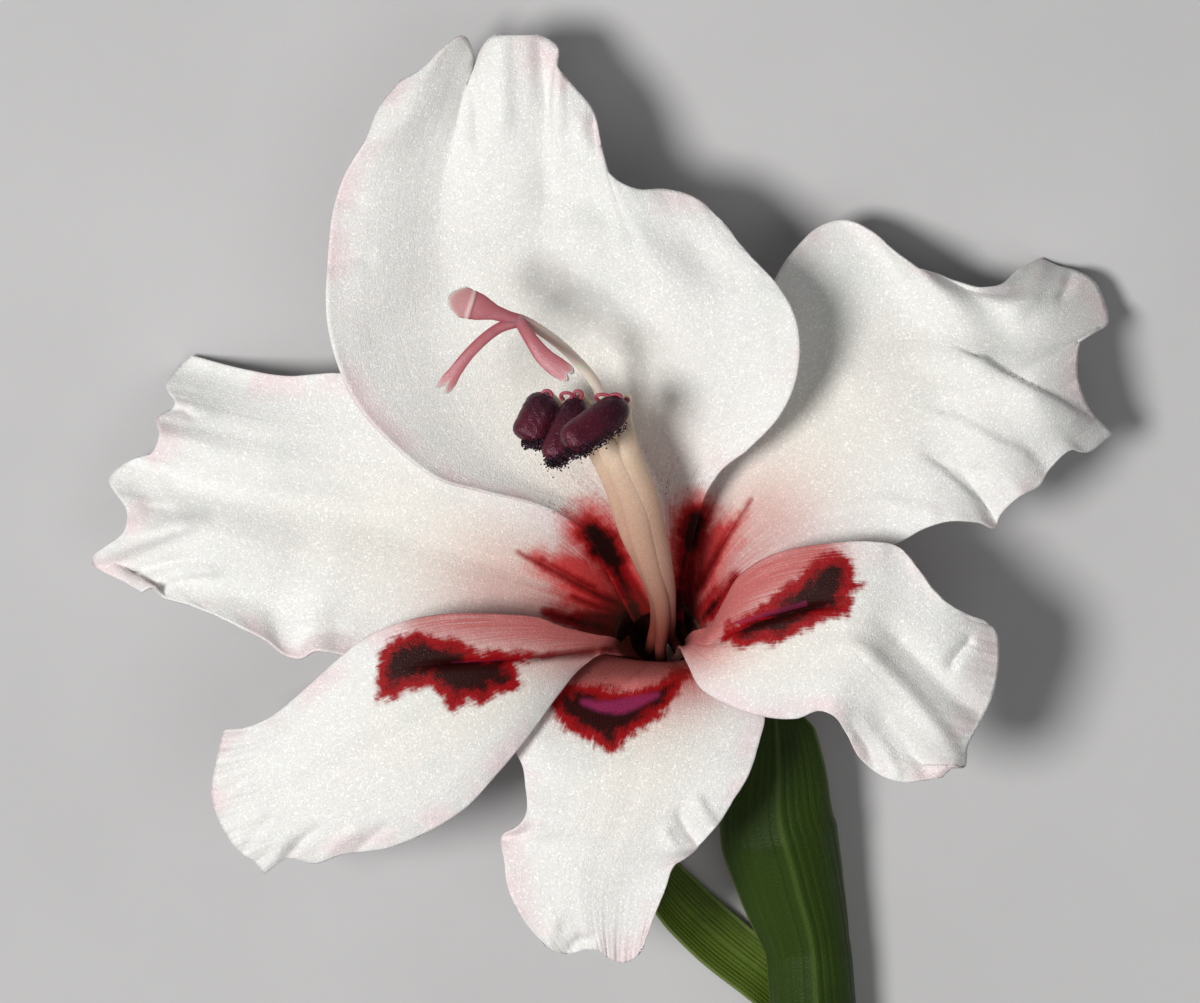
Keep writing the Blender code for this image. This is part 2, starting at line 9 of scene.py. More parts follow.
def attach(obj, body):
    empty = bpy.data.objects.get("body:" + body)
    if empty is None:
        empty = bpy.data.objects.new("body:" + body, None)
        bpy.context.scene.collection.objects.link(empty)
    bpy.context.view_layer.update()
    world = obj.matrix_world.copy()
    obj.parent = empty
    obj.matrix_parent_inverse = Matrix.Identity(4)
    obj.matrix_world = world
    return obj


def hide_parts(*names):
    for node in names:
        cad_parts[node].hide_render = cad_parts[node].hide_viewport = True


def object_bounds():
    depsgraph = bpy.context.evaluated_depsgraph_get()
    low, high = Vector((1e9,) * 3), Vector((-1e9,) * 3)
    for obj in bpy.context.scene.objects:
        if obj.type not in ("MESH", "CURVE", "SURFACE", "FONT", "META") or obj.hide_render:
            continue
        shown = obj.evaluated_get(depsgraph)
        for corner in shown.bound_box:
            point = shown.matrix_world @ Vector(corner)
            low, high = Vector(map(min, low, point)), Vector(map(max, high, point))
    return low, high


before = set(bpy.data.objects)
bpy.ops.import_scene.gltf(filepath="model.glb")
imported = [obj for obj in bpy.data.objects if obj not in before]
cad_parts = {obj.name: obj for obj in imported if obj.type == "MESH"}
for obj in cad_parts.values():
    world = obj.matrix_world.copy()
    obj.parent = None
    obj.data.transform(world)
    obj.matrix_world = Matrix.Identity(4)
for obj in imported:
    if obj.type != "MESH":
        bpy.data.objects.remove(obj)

CAD_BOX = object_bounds()

bl_info = {
    "name": "Gladiolus bloom",
    "version": (1, 0, 0),
    "blender": (4, 5, 0),
    "location": "View3D > Sidebar > Bloom",
    "description": "Builds a picked gladiolus bloom: ruffled tepals, stamens, style, tube, ovary and bracts",
    "category": "Object",
}

MM = 0.001
BOX_MARGIN = 0.00012

# How the bloom lies: its own frame has the throat as origin, X to its right, Y up to the dorsal tepal and Z
# out of its face, in millimetres. The ground is the plane through three low points, and the shift centres it.
REST_POINTS = (Vector((-35.9, 20.6, -4.9)), Vector((29.6, 28.6, -4.9)), Vector((12.4, -31.0, -18.3)))
GROUND_SHIFT = Vector((-31.868, 16.660, 0.3))

# The camera looks straight into the bloom's own face
VIEW_CENTRE = (-4.125, 10.3875, 0.0)
VIEW_WIDTH = 90.0
VIEW_DISTANCE = 800.0
SENSOR = 36.0
# The ways to the key light and to the fill light, in the bloom's own frame
KEY_WAY = (-0.52, -0.14, 1.0)
FILL_WAY = (0.35, -0.45, 1.0)

# The tube's mouth: the ring on which the tepals sit
MOUTH = Vector((0.3, -0.2, -6.0))
MOUTH_AXIS = Vector((0.0, 0.42, 0.91)).normalized()
INNER_RING = 2.25
OUTER_RING = 3.4
SEAT_GAP = 0.7
BASE_CROWDING = 1.25
RUFFLE_REACH = 3.5
END_REACH = 2.5
SMOOTHING = 0.055

TUBE_PATH = [(0.3, -0.2, -6.0), (0.3, -0.87, -7.46), (1.7, -2.9, -8.6), (4.4, -7.0, -9.9),
             (7.2, -12.0, -10.9), (9.6, -17.6, -11.9), (11.2, -23.0, -13.1), (11.9, -26.6, -14.2)]
TUBE_RADII = [3.75, 2.85, 2.5, 2.25, 2.0, 1.85, 1.65, 1.5]
TUBE_WALL = 0.55

OVARY_PATH = [(13.4, -38.2, -17.1), (13.2, -36.6, -16.8), (13.1, -36.2, -16.7), (12.9, -34.6, -16.4),
              (12.6, -32.2, -15.8), (12.3, -29.8, -15.3), (12.05, -28.0, -14.8), (11.95, -27.2, -14.5)]
OVARY_RADII = [1.7, 1.9, 1.5, 1.6, 1.75, 1.65, 1.35, 1.1]

# Each tepal: its ring and the angles of its base there, its two edges from base to tip corner, and its tip edge.
# cup is how far its middle lies behind the edges, and rib how deep its midrib is. folds are soft pleats that start
# at full height: their widths on the left and right of the line, their height, and the line they follow.
TEPALS = {
    "tepal_dorsal": {
        "ring": INNER_RING, "angles": (146, 34), "cup": 3.6, "rib": 0.15,
        "first": [(-2.5, 3.0, -4.6), (-3.7, 5.4, -2.0), (-5.3, 8.0, 0.6), (-8.5, 10.0, 2.9),
                  (-13.1, 11.2, 4.9), (-16.4, 12.2, 6.1), (-20.6, 15.7, 7.4), (-22.6, 18.3, 8.0),
                  (-24.3, 23.3, 8.8), (-24.3, 28.8, 8.6), (-23.9, 32.2, 8.2), (-23.0, 34.8, 8.6),
                  (-21.5, 37.2, 9.2), (-20.5, 39.6, 8.8)],
        "tip": [(-18.9, 41.6, 8.4), (-17.3, 42.5, 8.8), (-15.9, 43.9, 8.8), (-14.3, 45.0, 7.8),
                (-13.7, 44.2, 7.0), (-13.35, 42.8, 6.2), (-12.9, 44.1, 7.0), (-12.2, 44.9, 7.8),
                (-10.8, 45.3, 8.4), (-8.9, 45.1, 8.6), (-7.3, 44.2, 8.0), (-7.3, 42.7, 9.0), (-6.0, 41.1, 8.9),
                (-4.7, 39.5, 8.6), (-4.3, 37.8, 9.0), (-4.1, 36.2, 8.6), (-3.3, 34.6, 8.8), (-1.4, 33.6, 8.2),
                (0.7, 33.6, 7.4), (2.9, 33.0, 7.0), (5.0, 31.2, 7.0)],
        "second": [(2.1, 2.9, -4.2), (2.4, 5.6, -1.8), (3.0, 8.5, 0.6), (3.8, 11.0, 2.5), (5.0, 12.8, 3.9),
                   (6.9, 14.3, 5.2), (9.1, 16.6, 6.6), (10.3, 19.0, 7.6), (10.7, 21.9, 8.3),
                   (10.3, 24.2, 8.5), (9.1, 26.4, 8.1), (6.7, 29.0, 7.3)],
        "folds": [
            ((0.25, 0.45), -0.55, [(-13.4, 43.0), (-13.3, 40.6), (-13.1, 36.5)]),
            ((0.7,), 0.45, [(-11.6, 44.6), (-11.4, 41.6), (-11.2, 37.0)]),
            ((0.6,), -0.40, [(-8.8, 44.8), (-8.4, 41.5), (-7.4, 38.0)]),
            ((0.5,), 0.35, [(-7.2, 42.4), (-7.4, 40.0), (-7.2, 37.5)]),
            ((1.8,), -0.75, [(-7.1, 33.8), (-2.6, 31.9), (2.6, 29.2), (7.0, 25.6)]),
            ((1.3,), -0.50, [(-8.2, 27.4), (-5.2, 24.4), (-3.2, 21.0), (-2.2, 18.0), (-1.4, 14.0)]),
            ((0.45, 0.35), -0.30, [(-24.1, 27.9), (-22.9, 28.5), (-20.6, 28.3)]),
            ((0.4,), -0.20, [(-24.0, 33.0), (-22.6, 32.7), (-21.4, 32.2)]),
            ((0.6,), 0.30, [(-4.4, 35.6), (-5.4, 37.4), (-5.6, 39.4)]),
            ((1.8,), -0.35, [(-20.5, 23.0), (-17.0, 25.0), (-13.0, 27.0)]),
        ],
    },
    "tepal_left": {
        "ring": OUTER_RING, "angles": (186, 128), "cup": 1.4, "rib": 0.15,
        "first": [(-3.6, -0.6, -4.3), (-4.6, -0.7, -2.9), (-6.2, -0.8, -1.4), (-8.6, -0.9, 0.0),
                  (-12.5, -1.1, 1.2), (-18.0, -1.5, 1.8), (-21.8, -1.5, 1.4), (-23.4, -1.1, 1.4),
                  (-25.4, -0.8, 1.8), (-26.6, -1.4, 0.8), (-27.8, -1.1, 0.6), (-29.0, -0.1, 1.2),
                  (-31.3, 1.1, 1.2), (-34.5, 2.5, 0.2), (-36.8, 3.2, -0.6), (-37.6, 4.0, 0.2)],
        "tip": [(-38.5, 3.6, 0.0), (-39.6, 4.2, -0.9), (-42.4, 5.9, -2.6), (-39.8, 8.2, 0.2),
                (-39.6, 9.6, 0.4), (-41.0, 12.1, -2.0), (-39.4, 13.5, -1.6), (-37.8, 14.0, -0.2),
                (-37.2, 15.3, 0.0), (-37.4, 16.6, -1.4), (-36.1, 17.6, -1.6), (-36.8, 19.1, -3.8),
                (-35.9, 20.5, -4.9), (-34.9, 21.4, -4.5)],
        "second": [(-2.6, 3.9, -5.8), (-3.8, 6.2, -3.8), (-6.0, 9.0, -1.6), (-10.2, 12.6, 0.4),
                   (-15.5, 17.0, 1.4), (-20.5, 19.6, 1.2), (-23.8, 20.0, 0.8), (-27.5, 19.8, 0.0),
                   (-30.7, 20.3, -1.8)],
        "folds": [
            ((0.7, 0.5), 0.75, [(-41.5, 6.2), (-39.4, 7.1), (-36.0, 8.4), (-33.2, 9.0)]),
            ((0.4, 0.35), -0.55, [(-39.3, 4.9), (-37.1, 5.7), (-34.8, 6.2)]),
            ((0.45, 0.3), 0.55, [(-37.5, 4.4), (-34.9, 5.2), (-32.1, 5.3)]),
            ((0.35, 0.5), -0.50, [(-37.2, 17.4), (-35.4, 17.2), (-34.2, 16.4)]),
            ((0.7,), -0.35, [(-27.4, -0.9), (-25.9, 0.2), (-22.6, 0.9)]),
            ((1.1,), -0.18, [(-34.0, 11.6), (-26.6, 10.9), (-15.4, 8.4)]),
            ((0.5,), -0.40, [(-37.8, 14.6), (-35.6, 14.2), (-33.0, 13.4)]),
            ((0.9,), 0.40, [(-40.6, 12.2), (-38.6, 11.8), (-36.0, 11.4)]),
            ((0.5, 0.9), -0.35, [(-39.8, 9.6), (-38.2, 9.6), (-35.6, 9.8)]),
        ],
    },
    "tepal_right": {
        "ring": OUTER_RING, "angles": (62, -6), "cup": 1.4, "rib": 0.15,
        "first": [(1.7, 4.6, -6.2), (1.8, 7.0, -4.8), (2.4, 10.0, -2.8), (3.6, 13.6, -0.8), (5.4, 17.4, 1.0),
                  (7.0, 21.2, 2.0), (8.2, 25.0, 2.4), (9.3, 27.6, 2.2), (10.6, 29.4, 1.6), (12.3, 31.0, 0.8),
                  (14.2, 31.5, 0.4), (16.2, 30.6, 1.2), (17.6, 29.3, 2.4), (19.4, 28.0, 2.6),
                  (21.5, 27.3, 0.8), (23.8, 26.5, 0.9), (25.8, 26.6, 0.0), (27.3, 27.8, -2.4)],
        "tip": [(29.1, 28.7, -4.9), (30.4, 28.1, -4.6), (31.8, 27.7, -3.2), (33.1, 26.9, -3.0),
                (33.9, 25.2, -3.2), (34.1, 23.9, -2.2), (33.0, 23.2, -0.4), (31.9, 22.4, 0.6),
                (31.6, 20.1, 1.0), (32.1, 18.2, 0.4), (33.0, 16.8, -1.0), (34.4, 15.5, -2.6)],
        "second": [(3.4, -0.2, -4.8), (3.6, 0.3, -3.7), (4.4, 1.1, -2.4), (6.4, 3.3, -0.4), (9.7, 4.9, 1.2),
                   (13.0, 6.0, 1.8), (18.1, 7.3, 1.9), (20.0, 8.3, 2.1), (22.0, 8.9, 2.4),
                   (24.3, 8.8, 1.8), (25.5, 8.4, 0.8), (25.9, 9.4, 1.2), (27.2, 10.7, 1.8),
                   (28.8, 11.6, 1.0), (29.4, 12.6, 0.6), (31.0, 14.2, 0.8), (32.5, 14.1, -1.0)],
        "folds": [
            ((0.3, 1.5), 0.80, [(24.4, 20.8), (26.2, 19.4), (28.6, 17.8), (31.4, 16.5), (33.8, 15.9)]),
            ((0.5, 1.0), 0.45, [(22.0, 16.6), (25.0, 14.9), (27.4, 13.8), (29.0, 12.6)]),
            ((1.4,), 0.35, [(15.0, 19.4), (20.0, 21.2), (25.6, 20.6)]),
            ((0.4, 0.9), -0.60, [(25.7, 8.8), (24.6, 10.6), (22.6, 12.6), (19.6, 14.4)]),
            ((0.5,), -0.35, [(26.8, 10.6), (25.6, 12.0), (23.6, 13.4)]),
            ((0.4,), -0.50, [(31.4, 27.8), (30.9, 26.4), (30.0, 25.2)]),
            ((0.7,), 0.45, [(29.2, 27.8), (28.0, 25.6), (26.0, 24.0)]),
            ((1.0,), -0.40, [(17.0, 29.0), (18.8, 27.2), (22.6, 26.4)]),
            ((0.6,), 0.25, [(20.6, 9.6), (17.0, 10.4), (12.6, 9.2)]),
        ],
    },
    "tepal_lower_left": {
        "ring": INNER_RING, "angles": (236, 174), "cup": -0.9, "rib": 0.12,
        "first": [(-1.8, -1.3, -3.1), (-2.7, -1.1, -1.0), (-4.0, -1.0, 0.8), (-5.7, -2.1, 1.9),
                  (-7.2, -3.9, 2.9), (-9.9, -7.6, 3.9), (-12.0, -10.1, 4.1), (-14.0, -12.3, 3.8),
                  (-16.7, -14.1, 3.2), (-20.1, -15.5, 2.4), (-23.5, -16.0, 1.8), (-25.5, -16.7, 0.6),
                  (-27.5, -16.3, 0.9)],
        "tip": [(-29.3, -17.5, -0.8), (-30.1, -16.6, -0.2), (-31.2, -15.8, 0.2), (-32.7, -13.4, 0.6),
                (-33.2, -11.4, 1.0), (-32.8, -8.8, 0.6), (-32.3, -6.7, 0.2)],
        "second": [(-2.5, -0.2, -3.2), (-3.2, 0.2, -1.0), (-4.6, 0.4, 0.8), (-7.0, 1.0, 2.6),
                   (-8.8, 1.7, 3.5), (-13.0, 2.0, 4.7), (-15.5, 2.0, 5.1), (-18.5, 1.5, 5.3),
                   (-21.3, 0.4, 5.0), (-23.3, -1.1, 4.6), (-26.1, -3.6, 3.6), (-28.5, -5.6, 2.6),
                   (-30.5, -6.5, 1.6)],
        "folds": [
            ((0.4, 0.5), 0.40, [(-29.2, -17.4), (-28.4, -16.0), (-27.0, -14.0)]),
            ((0.4,), -0.35, [(-27.6, -16.3), (-26.6, -15.0), (-24.8, -13.6)]),
            ((0.5,), 0.28, [(-24.9, -16.4), (-23.7, -15.0), (-21.6, -13.8)]),
            ((0.4,), -0.25, [(-30.8, -15.8), (-29.9, -14.4), (-28.4, -12.8)]),
            ((0.4,), -0.22, [(-22.4, -15.8), (-21.2, -14.6), (-19.6, -13.4)]),
            ((0.5,), 0.20, [(-32.5, -12.4), (-31.4, -11.2), (-29.6, -10.0)]),
            ((0.35,), -0.55, [(-4.6, -1.0), (-7.8, -1.2), (-12.0, -1.5), (-19.0, -1.9)]),
        ],
    },
    "tepal_lower_middle": {
        "ring": OUTER_RING, "angles": (306, 234), "cup": -0.5, "rib": 0.08,
        "first": [(2.8, -2.1, -3.9), (3.2, -1.6, -2.9), (3.7, -1.2, -2.0), (4.7, -1.5, -1.0), (6.4, -2.6, 0.0),
                  (7.8, -4.4, 1.1), (8.2, -5.8, 1.9), (7.8, -7.5, 2.5), (7.0, -10.0, 3.1), (5.9, -11.8, 3.1),
                  (4.7, -13.7, 2.6), (3.4, -15.2, 2.8), (2.6, -16.0, 2.0), (1.4, -16.9, 1.8),
                  (0.8, -18.5, 2.0), (-0.2, -21.0, 1.4)],
        "tip": [(-0.9, -23.0, 0.8), (-1.5, -23.8, 0.3), (-2.5, -24.2, 0.0), (-3.5, -23.8, 0.4),
                (-4.3, -23.2, 0.9), (-5.2, -23.2, 0.8), (-6.3, -23.5, 0.4), (-7.3, -23.4, 0.3),
                (-8.1, -23.0, 0.4)],
        "second": [(-2.9, -2.2, -4.7), (-3.8, -1.4, -3.8), (-4.9, -0.8, -2.6), (-6.3, -1.4, -1.1),
                   (-8.2, -3.3, 0.5), (-10.2, -6.0, 1.7), (-10.6, -7.8, 2.2), (-9.9, -9.4, 2.4),
                   (-9.7, -10.8, 2.5), (-9.6, -12.8, 3.0), (-10.3, -13.9, 2.6), (-11.5, -14.7, 1.6),
                   (-11.3, -16.4, 1.8), (-11.0, -18.5, 1.8), (-9.8, -21.0, 1.2)],
        "folds": [
            ((0.45, 0.35), -0.50, [(3.3, -15.4), (2.4, -14.2), (1.5, -12.4)]),
            ((0.4,), 0.35, [(4.5, -14.0), (3.6, -12.8), (2.8, -11.4)]),
            ((0.4,), 0.35, [(2.2, -16.4), (1.2, -15.2), (0.4, -13.6)]),
            ((0.45, 0.6), -0.50, [(-6.6, -23.4), (-5.6, -22.4), (-4.4, -22.6)]),
            ((0.6,), 0.30, [(-8.0, -22.8), (-7.6, -21.4), (-7.4, -20.0)]),
            ((0.4,), -0.40, [(-11.4, -14.9), (-10.4, -14.6), (-9.0, -13.8)]),
            ((0.9, 0.25), 0.45, [(1.2, -0.6), (0.5, -1.1), (-0.45, -2.75), (-2.45, -3.6)]),
        ],
    },
    "tepal_lower_right": {
        "ring": INNER_RING, "angles": (-14, -72), "cup": -0.9, "rib": 0.15,
        "first": [(2.4, 0.0, -3.4), (2.9, 0.6, -1.2), (4.2, 1.1, 0.8), (5.2, 2.9, 2.2), (6.4, 4.9, 3.3),
                  (9.0, 6.5, 4.5), (12.5, 7.2, 5.1), (15.9, 7.4, 5.1), (18.1, 7.0, 4.7), (19.5, 5.5, 4.8),
                  (21.0, 3.5, 4.7), (22.8, 2.2, 3.8)],
        "tip": [(24.6, 1.5, 2.4), (25.5, 0.6, 1.8), (25.7, -1.4, 1.6), (25.3, -3.9, 1.6), (24.3, -6.2, 1.8),
                (23.4, -7.8, 1.6), (23.2, -9.5, -0.2), (22.4, -9.4, 0.8), (21.5, -10.2, 1.2)],
        "second": [(1.5, -1.1, -3.4), (1.8, -0.5, -1.4), (2.5, -1.8, 0.6), (3.5, -3.6, 1.95),
                   (5.6, -4.8, 2.8), (7.9, -5.6, 3.1), (10.5, -5.8, 3.5), (12.2, -5.2, 4.3),
                   (13.3, -5.6, 4.5), (14.3, -7.0, 3.6), (15.3, -8.8, 2.2), (16.9, -10.1, 1.6),
                   (18.7, -10.6, 1.9), (20.4, -10.4, 1.9)],
        "folds": [
            ((1.1, 0.8), 0.85, [(22.4, -8.8), (21.0, -6.8), (18.6, -3.8), (15.6, -0.8), (13.4, 0.6)]),
            ((0.6,), -0.45, [(20.2, -9.8), (18.4, -7.0), (16.0, -4.4)]),
            ((0.5,), 0.35, [(18.0, -9.8), (16.8, -7.4), (15.0, -5.4)]),
            ((0.4,), -0.30, [(16.4, -9.4), (15.6, -7.6), (14.3, -6.0)]),
            ((0.30, 0.55), -0.60, [(23.4, -0.2), (22.5, -1.2), (21.8, -2.4)]),
            ((1.0,), -0.75, [(24.2, -5.6), (22.0, -3.8), (19.4, -1.2), (16.0, 2.0)]),
            ((0.4,), -0.50, [(4.6, 0.0), (7.6, 1.3), (10.9, 2.3), (14.6, 2.9)]),
        ],
    },
}

# Each mark on the tepals: a field, the half width of its line at each end, and the line, or None and an outline
UPPER_MARKS = [
    ("spot", (0.70, 1.02, 0.74), [(-4.8, 8.1), (-4.05, 7.15), (-3.2, 6.05)]),
    ("spot", (0.62, 0.86, 0.50), [(3.1, 9.2), (2.9, 8.2), (2.5, 6.9)]),
    ("red", (1.60, 1.5, 1.3, 1.2), [(-5.0, 8.3), (-3.0, 5.9), (-1.9, 3.7), (-0.6, 1.0)]),
    ("red", (1.40, 1.2, 0.9, 0.8), [(3.1, 9.3), (2.6, 6.6), (2.6, 4.0), (2.1, 1.2)]),
    ("red", None, [(-9.0, 6.2), (-7.9, 5.9), (-6.6, 6.6), (-5.1, 6.2), (-3.5, 4.8), (-2.2, 3.2), (-1.6, 1.5),
                   (-3.5, 1.7), (-5.4, 2.2), (-6.9, 2.9), (-6.4, 3.7), (-7.5, 4.0), (-7.0, 4.6), (-8.3, 5.2)]),
    ("red", None, [(3.0, 8.0), (4.6, 8.8), (6.2, 8.9), (5.4, 7.0), (4.4, 5.0), (3.6, 3.4), (2.6, 2.0)]),
    ("streak", (0.08, 0.22, 0.28, 0.34), [(-10.3, 6.6), (-8.5, 5.6), (-6.4, 4.4), (-4.1, 3.2), (-2.2, 2.4)]),
    ("streak", (0.05, 0.16, 0.24), [(-8.6, 6.1), (-6.8, 5.0), (-4.8, 3.9)]),
    ("streak", (0.10, 0.30), [(-6.3, 3.2), (-4.2, 2.4), (-2.0, 1.6)]),
    ("streak", (0.55, 0.80, 1.0, 1.0), [(-3.1, 5.9), (-2.3, 4.2), (-1.5, 2.9), (-0.5, 0.9)]),
    ("spot", (0.42, 0.30, 0.36, 0.55), [(-3.3, 6.0), (-2.6, 4.6), (-2.0, 3.3), (-1.3, 1.6)]),
    ("spot", (0.20, 0.26, 0.40), [(2.4, 6.6), (2.1, 4.4), (1.8, 2.4)]),
    # the next three: dark red lines along the slit between the left and lower left tepals, painted dark as painted
    # shade of the slit
    ("streak", (0.30, 0.42, 0.5), [(-5.9, 1.75), (-3.6, 1.6), (-1.6, 1.3)]),
    ("streak", (0.30, 0.42, 0.48), [(-8.2, 2.0), (-6.7, 1.5), (-4.1, 0.9), (-1.2, -0.1)]),
    ("spot", (0.00, 0.16, 0.24, 0.30), [(-8.0, 1.95), (-6.6, 1.5), (-4.1, 0.9), (-2.0, 0.2)]),
    # a dark red line along the slit between the right and lower right tepals, painted dark as painted shade of the
    # slit
    ("spot", (0.00, 0.16, 0.22, 0.20), [(6.2, 4.7), (5.3, 3.5), (4.1, 2.0), (2.9, 0.7)]),
    ("streak", (0.05, 0.16, 0.24, 0.30), [(7.3, 10.6), (6.2, 8.8), (5.0, 6.7), (3.7, 4.1)]),
    ("streak", (0.04, 0.13, 0.20), [(5.9, 8.9), (4.7, 6.5), (3.4, 3.9)]),
    ("streak", (0.40, 0.50, 0.60, 0.60), [(2.55, 7.0), (2.6, 4.8), (2.3, 2.4), (1.9, 0.9)]),
    ("streak", (0.22, 0.34), [(6.3, 4.6), (4.2, 1.7)]),
    ("streak", (0.18, 0.30), [(4.7, 3.8), (3.1, 1.5)]),
]
MARKS = {
    "tepal_dorsal": UPPER_MARKS,
    "tepal_left": UPPER_MARKS,
    "tepal_right": UPPER_MARKS,
    "tepal_lower_left": [
        ("blotch", None, [(-20.6, -3.2), (-20.5, -2.0), (-20.3, -0.8), (-19.3, 0.2), (-17.9, 0.4), (-16.3, 0.3),
                          (-14.5, -0.2), (-13.4, -0.8), (-11.8, -0.9), (-10.1, -1.0), (-7.8, -1.1),
                          (-9.4, -1.3), (-10.7, -1.8), (-10.2, -2.4), (-10.3, -3.2), (-11.4, -3.9),
                          (-12.1, -4.0), (-13.1, -4.7), (-13.9, -4.3), (-15.2, -5.0), (-15.7, -4.0),
                          (-17.0, -3.2), (-18.5, -3.6), (-19.9, -4.3), (-20.6, -4.3)]),
        ("streak", (0.30, 0.12), [(-12.0, -1.2), (-9.0, -1.15), (-6.0, -0.9), (-3.4, -0.7)]),
        ("rib", (0.05, 0.07), [(-15.2, -1.5), (-12.0, -1.35), (-9.0, -1.2), (-6.2, -1.0)]),
    ],
    "tepal_lower_middle": [
        ("blotch", None, [(-7.8, -4.7), (-7.0, -3.8), (-5.9, -3.4), (-4.6, -3.6), (-3.4, -3.9), (-1.7, -4.0),
                          (-0.8, -3.8), (0.0, -3.4), (0.7, -2.9), (1.6, -2.3), (2.5, -2.2), (2.7, -2.5),
                          (1.8, -3.8), (0.8, -5.2), (-0.4, -6.2), (-1.5, -6.9), (-2.6, -7.8), (-3.2, -8.4),
                          (-4.3, -7.8), (-5.5, -7.3), (-6.5, -6.7), (-7.4, -5.8)]),
        ("magenta", (0.10, 0.34, 0.44, 0.38, 0.10),
         [(-5.4, -4.7), (-4.3, -5.0), (-3.0, -5.1), (-1.6, -4.8), (0.1, -4.2)]),
        ("streak", (0.20, 0.15), [(-4.0, -0.9), (-2.0, -1.2), (0.2, -1.1)]),
    ],
    "tepal_lower_right": [
        ("blotch", None, [(5.0, 0.2), (5.5, 1.0), (6.5, 1.6), (7.5, 2.3), (8.6, 3.0), (9.8, 4.0), (10.7, 4.7),
                          (11.5, 5.5), (12.4, 6.3), (13.7, 6.5), (14.7, 5.6), (14.6, 4.6), (15.4, 4.0),
                          (14.2, 3.3), (14.5, 2.8), (14.1, 2.1), (13.3, 1.9), (12.2, 1.4), (10.9, 0.8),
                          (9.8, 0.3), (8.7, -0.1), (7.7, -0.1), (6.5, -0.4), (5.2, -0.1)]),
        ("rib", (0.07, 0.12), [(6.0, 1.3), (8.0, 2.0), (9.8, 2.5), (11.2, 2.9)]),
    ],
}
FIELDS = ("blotch", "red", "streak", "spot", "magenta", "rib")
FAR_FROM_MARKS = -20.0
FRINGE_WAY = (0.50, -0.85, -0.10)
FALLEN_LINE = [(-4.6, -2.2), (-3.6, -3.2), (-2.4, -3.4), (-0.8, -3.0), (0.6, -1.8)]
THROAT = (-0.4, 0.2)
# How far from the throat its dark red and painted shade reach, and how much of them the dorsal tepal takes
DEEP_REACH = 4.9
DORSAL_DEEP = 0.35

# Where the pink of the throat washes over each tepal: how far it reaches at each end of the line, how strong it is
# there, and the line
FLUSH = {
    "tepal_dorsal": ((5.8, 5.2), (1.15, 0.26), [(0.6, 0.0), (-0.1, 6.5), (-1.2, 11.0)]),
    "tepal_left": ((6.4, 5.0), (1.15, 0.50), [(0.0, 1.5), (-11.0, 3.2)]),
    "tepal_right": ((5.8, 4.4), (1.15, 0.55), [(1.0, 1.5), (8.2, 8.4)]),
    "tepal_lower_left": ((3.8, 2.4), (1.20, 0.85), [(0.0, -0.2), (-8.6, 1.1), (-17.0, 1.5)]),
    "tepal_lower_middle": ((3.0, 3.4), (1.2, 1.2), [(-6.5, -2.4), (-1.0, -2.4), (2.0, -1.6)]),
    "tepal_lower_right": ((3.4, 2.2), (1.15, 1.0), [(3.0, 1.0), (7.4, 4.4), (12.0, 6.6)]),
}
# The dark of the throat, its dark red with painted shade where the tepals turn down into it, as the flush: its
# reach, its strength and its line
THROAT_SHADE = {
    "tepal_left": (1.3, 0.70, [(-4.6, 0.9), (-2.0, 0.6)]),
    "tepal_lower_left": (0.45, 0.55, [(-9.0, -1.3), (-5.0, -0.9), (-3.0, -0.8)]),
    "tepal_lower_middle": (1.5, 0.66, [(-5.6, -2.0), (-3.0, -1.7), (0.4, -1.5), (1.8, -1.3)]),
}

# Each stamen: its filament's points, its anther's two ends and radius, and the little curls at the anther's
# top, each with its middle, half width and height
STAMENS = {
    "1": ([(-0.6, -1.5, -7.9), (-0.2, -0.2, -6.0), (0.15, 1.6, -3.0), (0.0, 3.6, -0.2), (-0.85, 5.8, 2.6),
           (-1.75, 7.8, 4.9), (-2.85, 11.2, 7.3), (-4.45, 14.3, 8.6), (-6.5, 16.8, 8.9), (-7.7, 18.0, 9.3),
           (-8.0, 18.4, 9.9), (-7.95, 18.2, 10.6)],
          ((-7.9, 18.3, 10.7), (-9.6, 14.8, 11.4)), 1.4,
          [(-8.05, 18.15, 0.35, 0.42)]),
    "2": ([(0.6, -2.4, -7.0), (0.45, -1.1, -5.6), (0.55, 0.5, -2.6), (0.5, 2.6, 0.3), (-0.15, 4.9, 3.3),
           (-0.85, 7.2, 5.8), (-1.75, 10.6, 8.5), (-3.45, 14.2, 10.0), (-4.6, 16.6, 9.9), (-5.35, 17.8, 10.3),
           (-5.65, 18.25, 11.0), (-5.65, 18.0, 11.7)],
          ((-5.6, 18.1, 11.8), (-7.8, 13.4, 12.9)), 1.05,
          [(-6.6, 18.1, 0.42, 0.30), (-5.75, 18.15, 0.30, 0.40)]),
    "3": ([(1.9, -0.8, -7.1), (1.2, 0.1, -5.6), (1.1, 1.7, -1.9), (0.95, 3.6, 0.9), (0.5, 5.8, 3.8),
           (0.0, 7.8, 5.8), (-0.75, 11.0, 8.4), (-1.9, 14.0, 9.9), (-2.3, 16.2, 10.3), (-2.2, 17.5, 11.2),
           (-2.15, 18.0, 12.2), (-2.15, 17.85, 13.3)],
          ((-2.2, 17.7, 13.5), (-6.7, 14.5, 15.7)), 1.3,
          [(-3.95, 18.0, 0.50, 0.26), (-3.0, 18.05, 0.42, 0.24)]),
}
FILAMENT_RADII = (0.40, 0.48, 0.62, 0.72, 0.64, 0.30)
FILAMENT_FLATNESS = (1.0, 1.1, 1.5, 1.8, 1.7, 1.0)

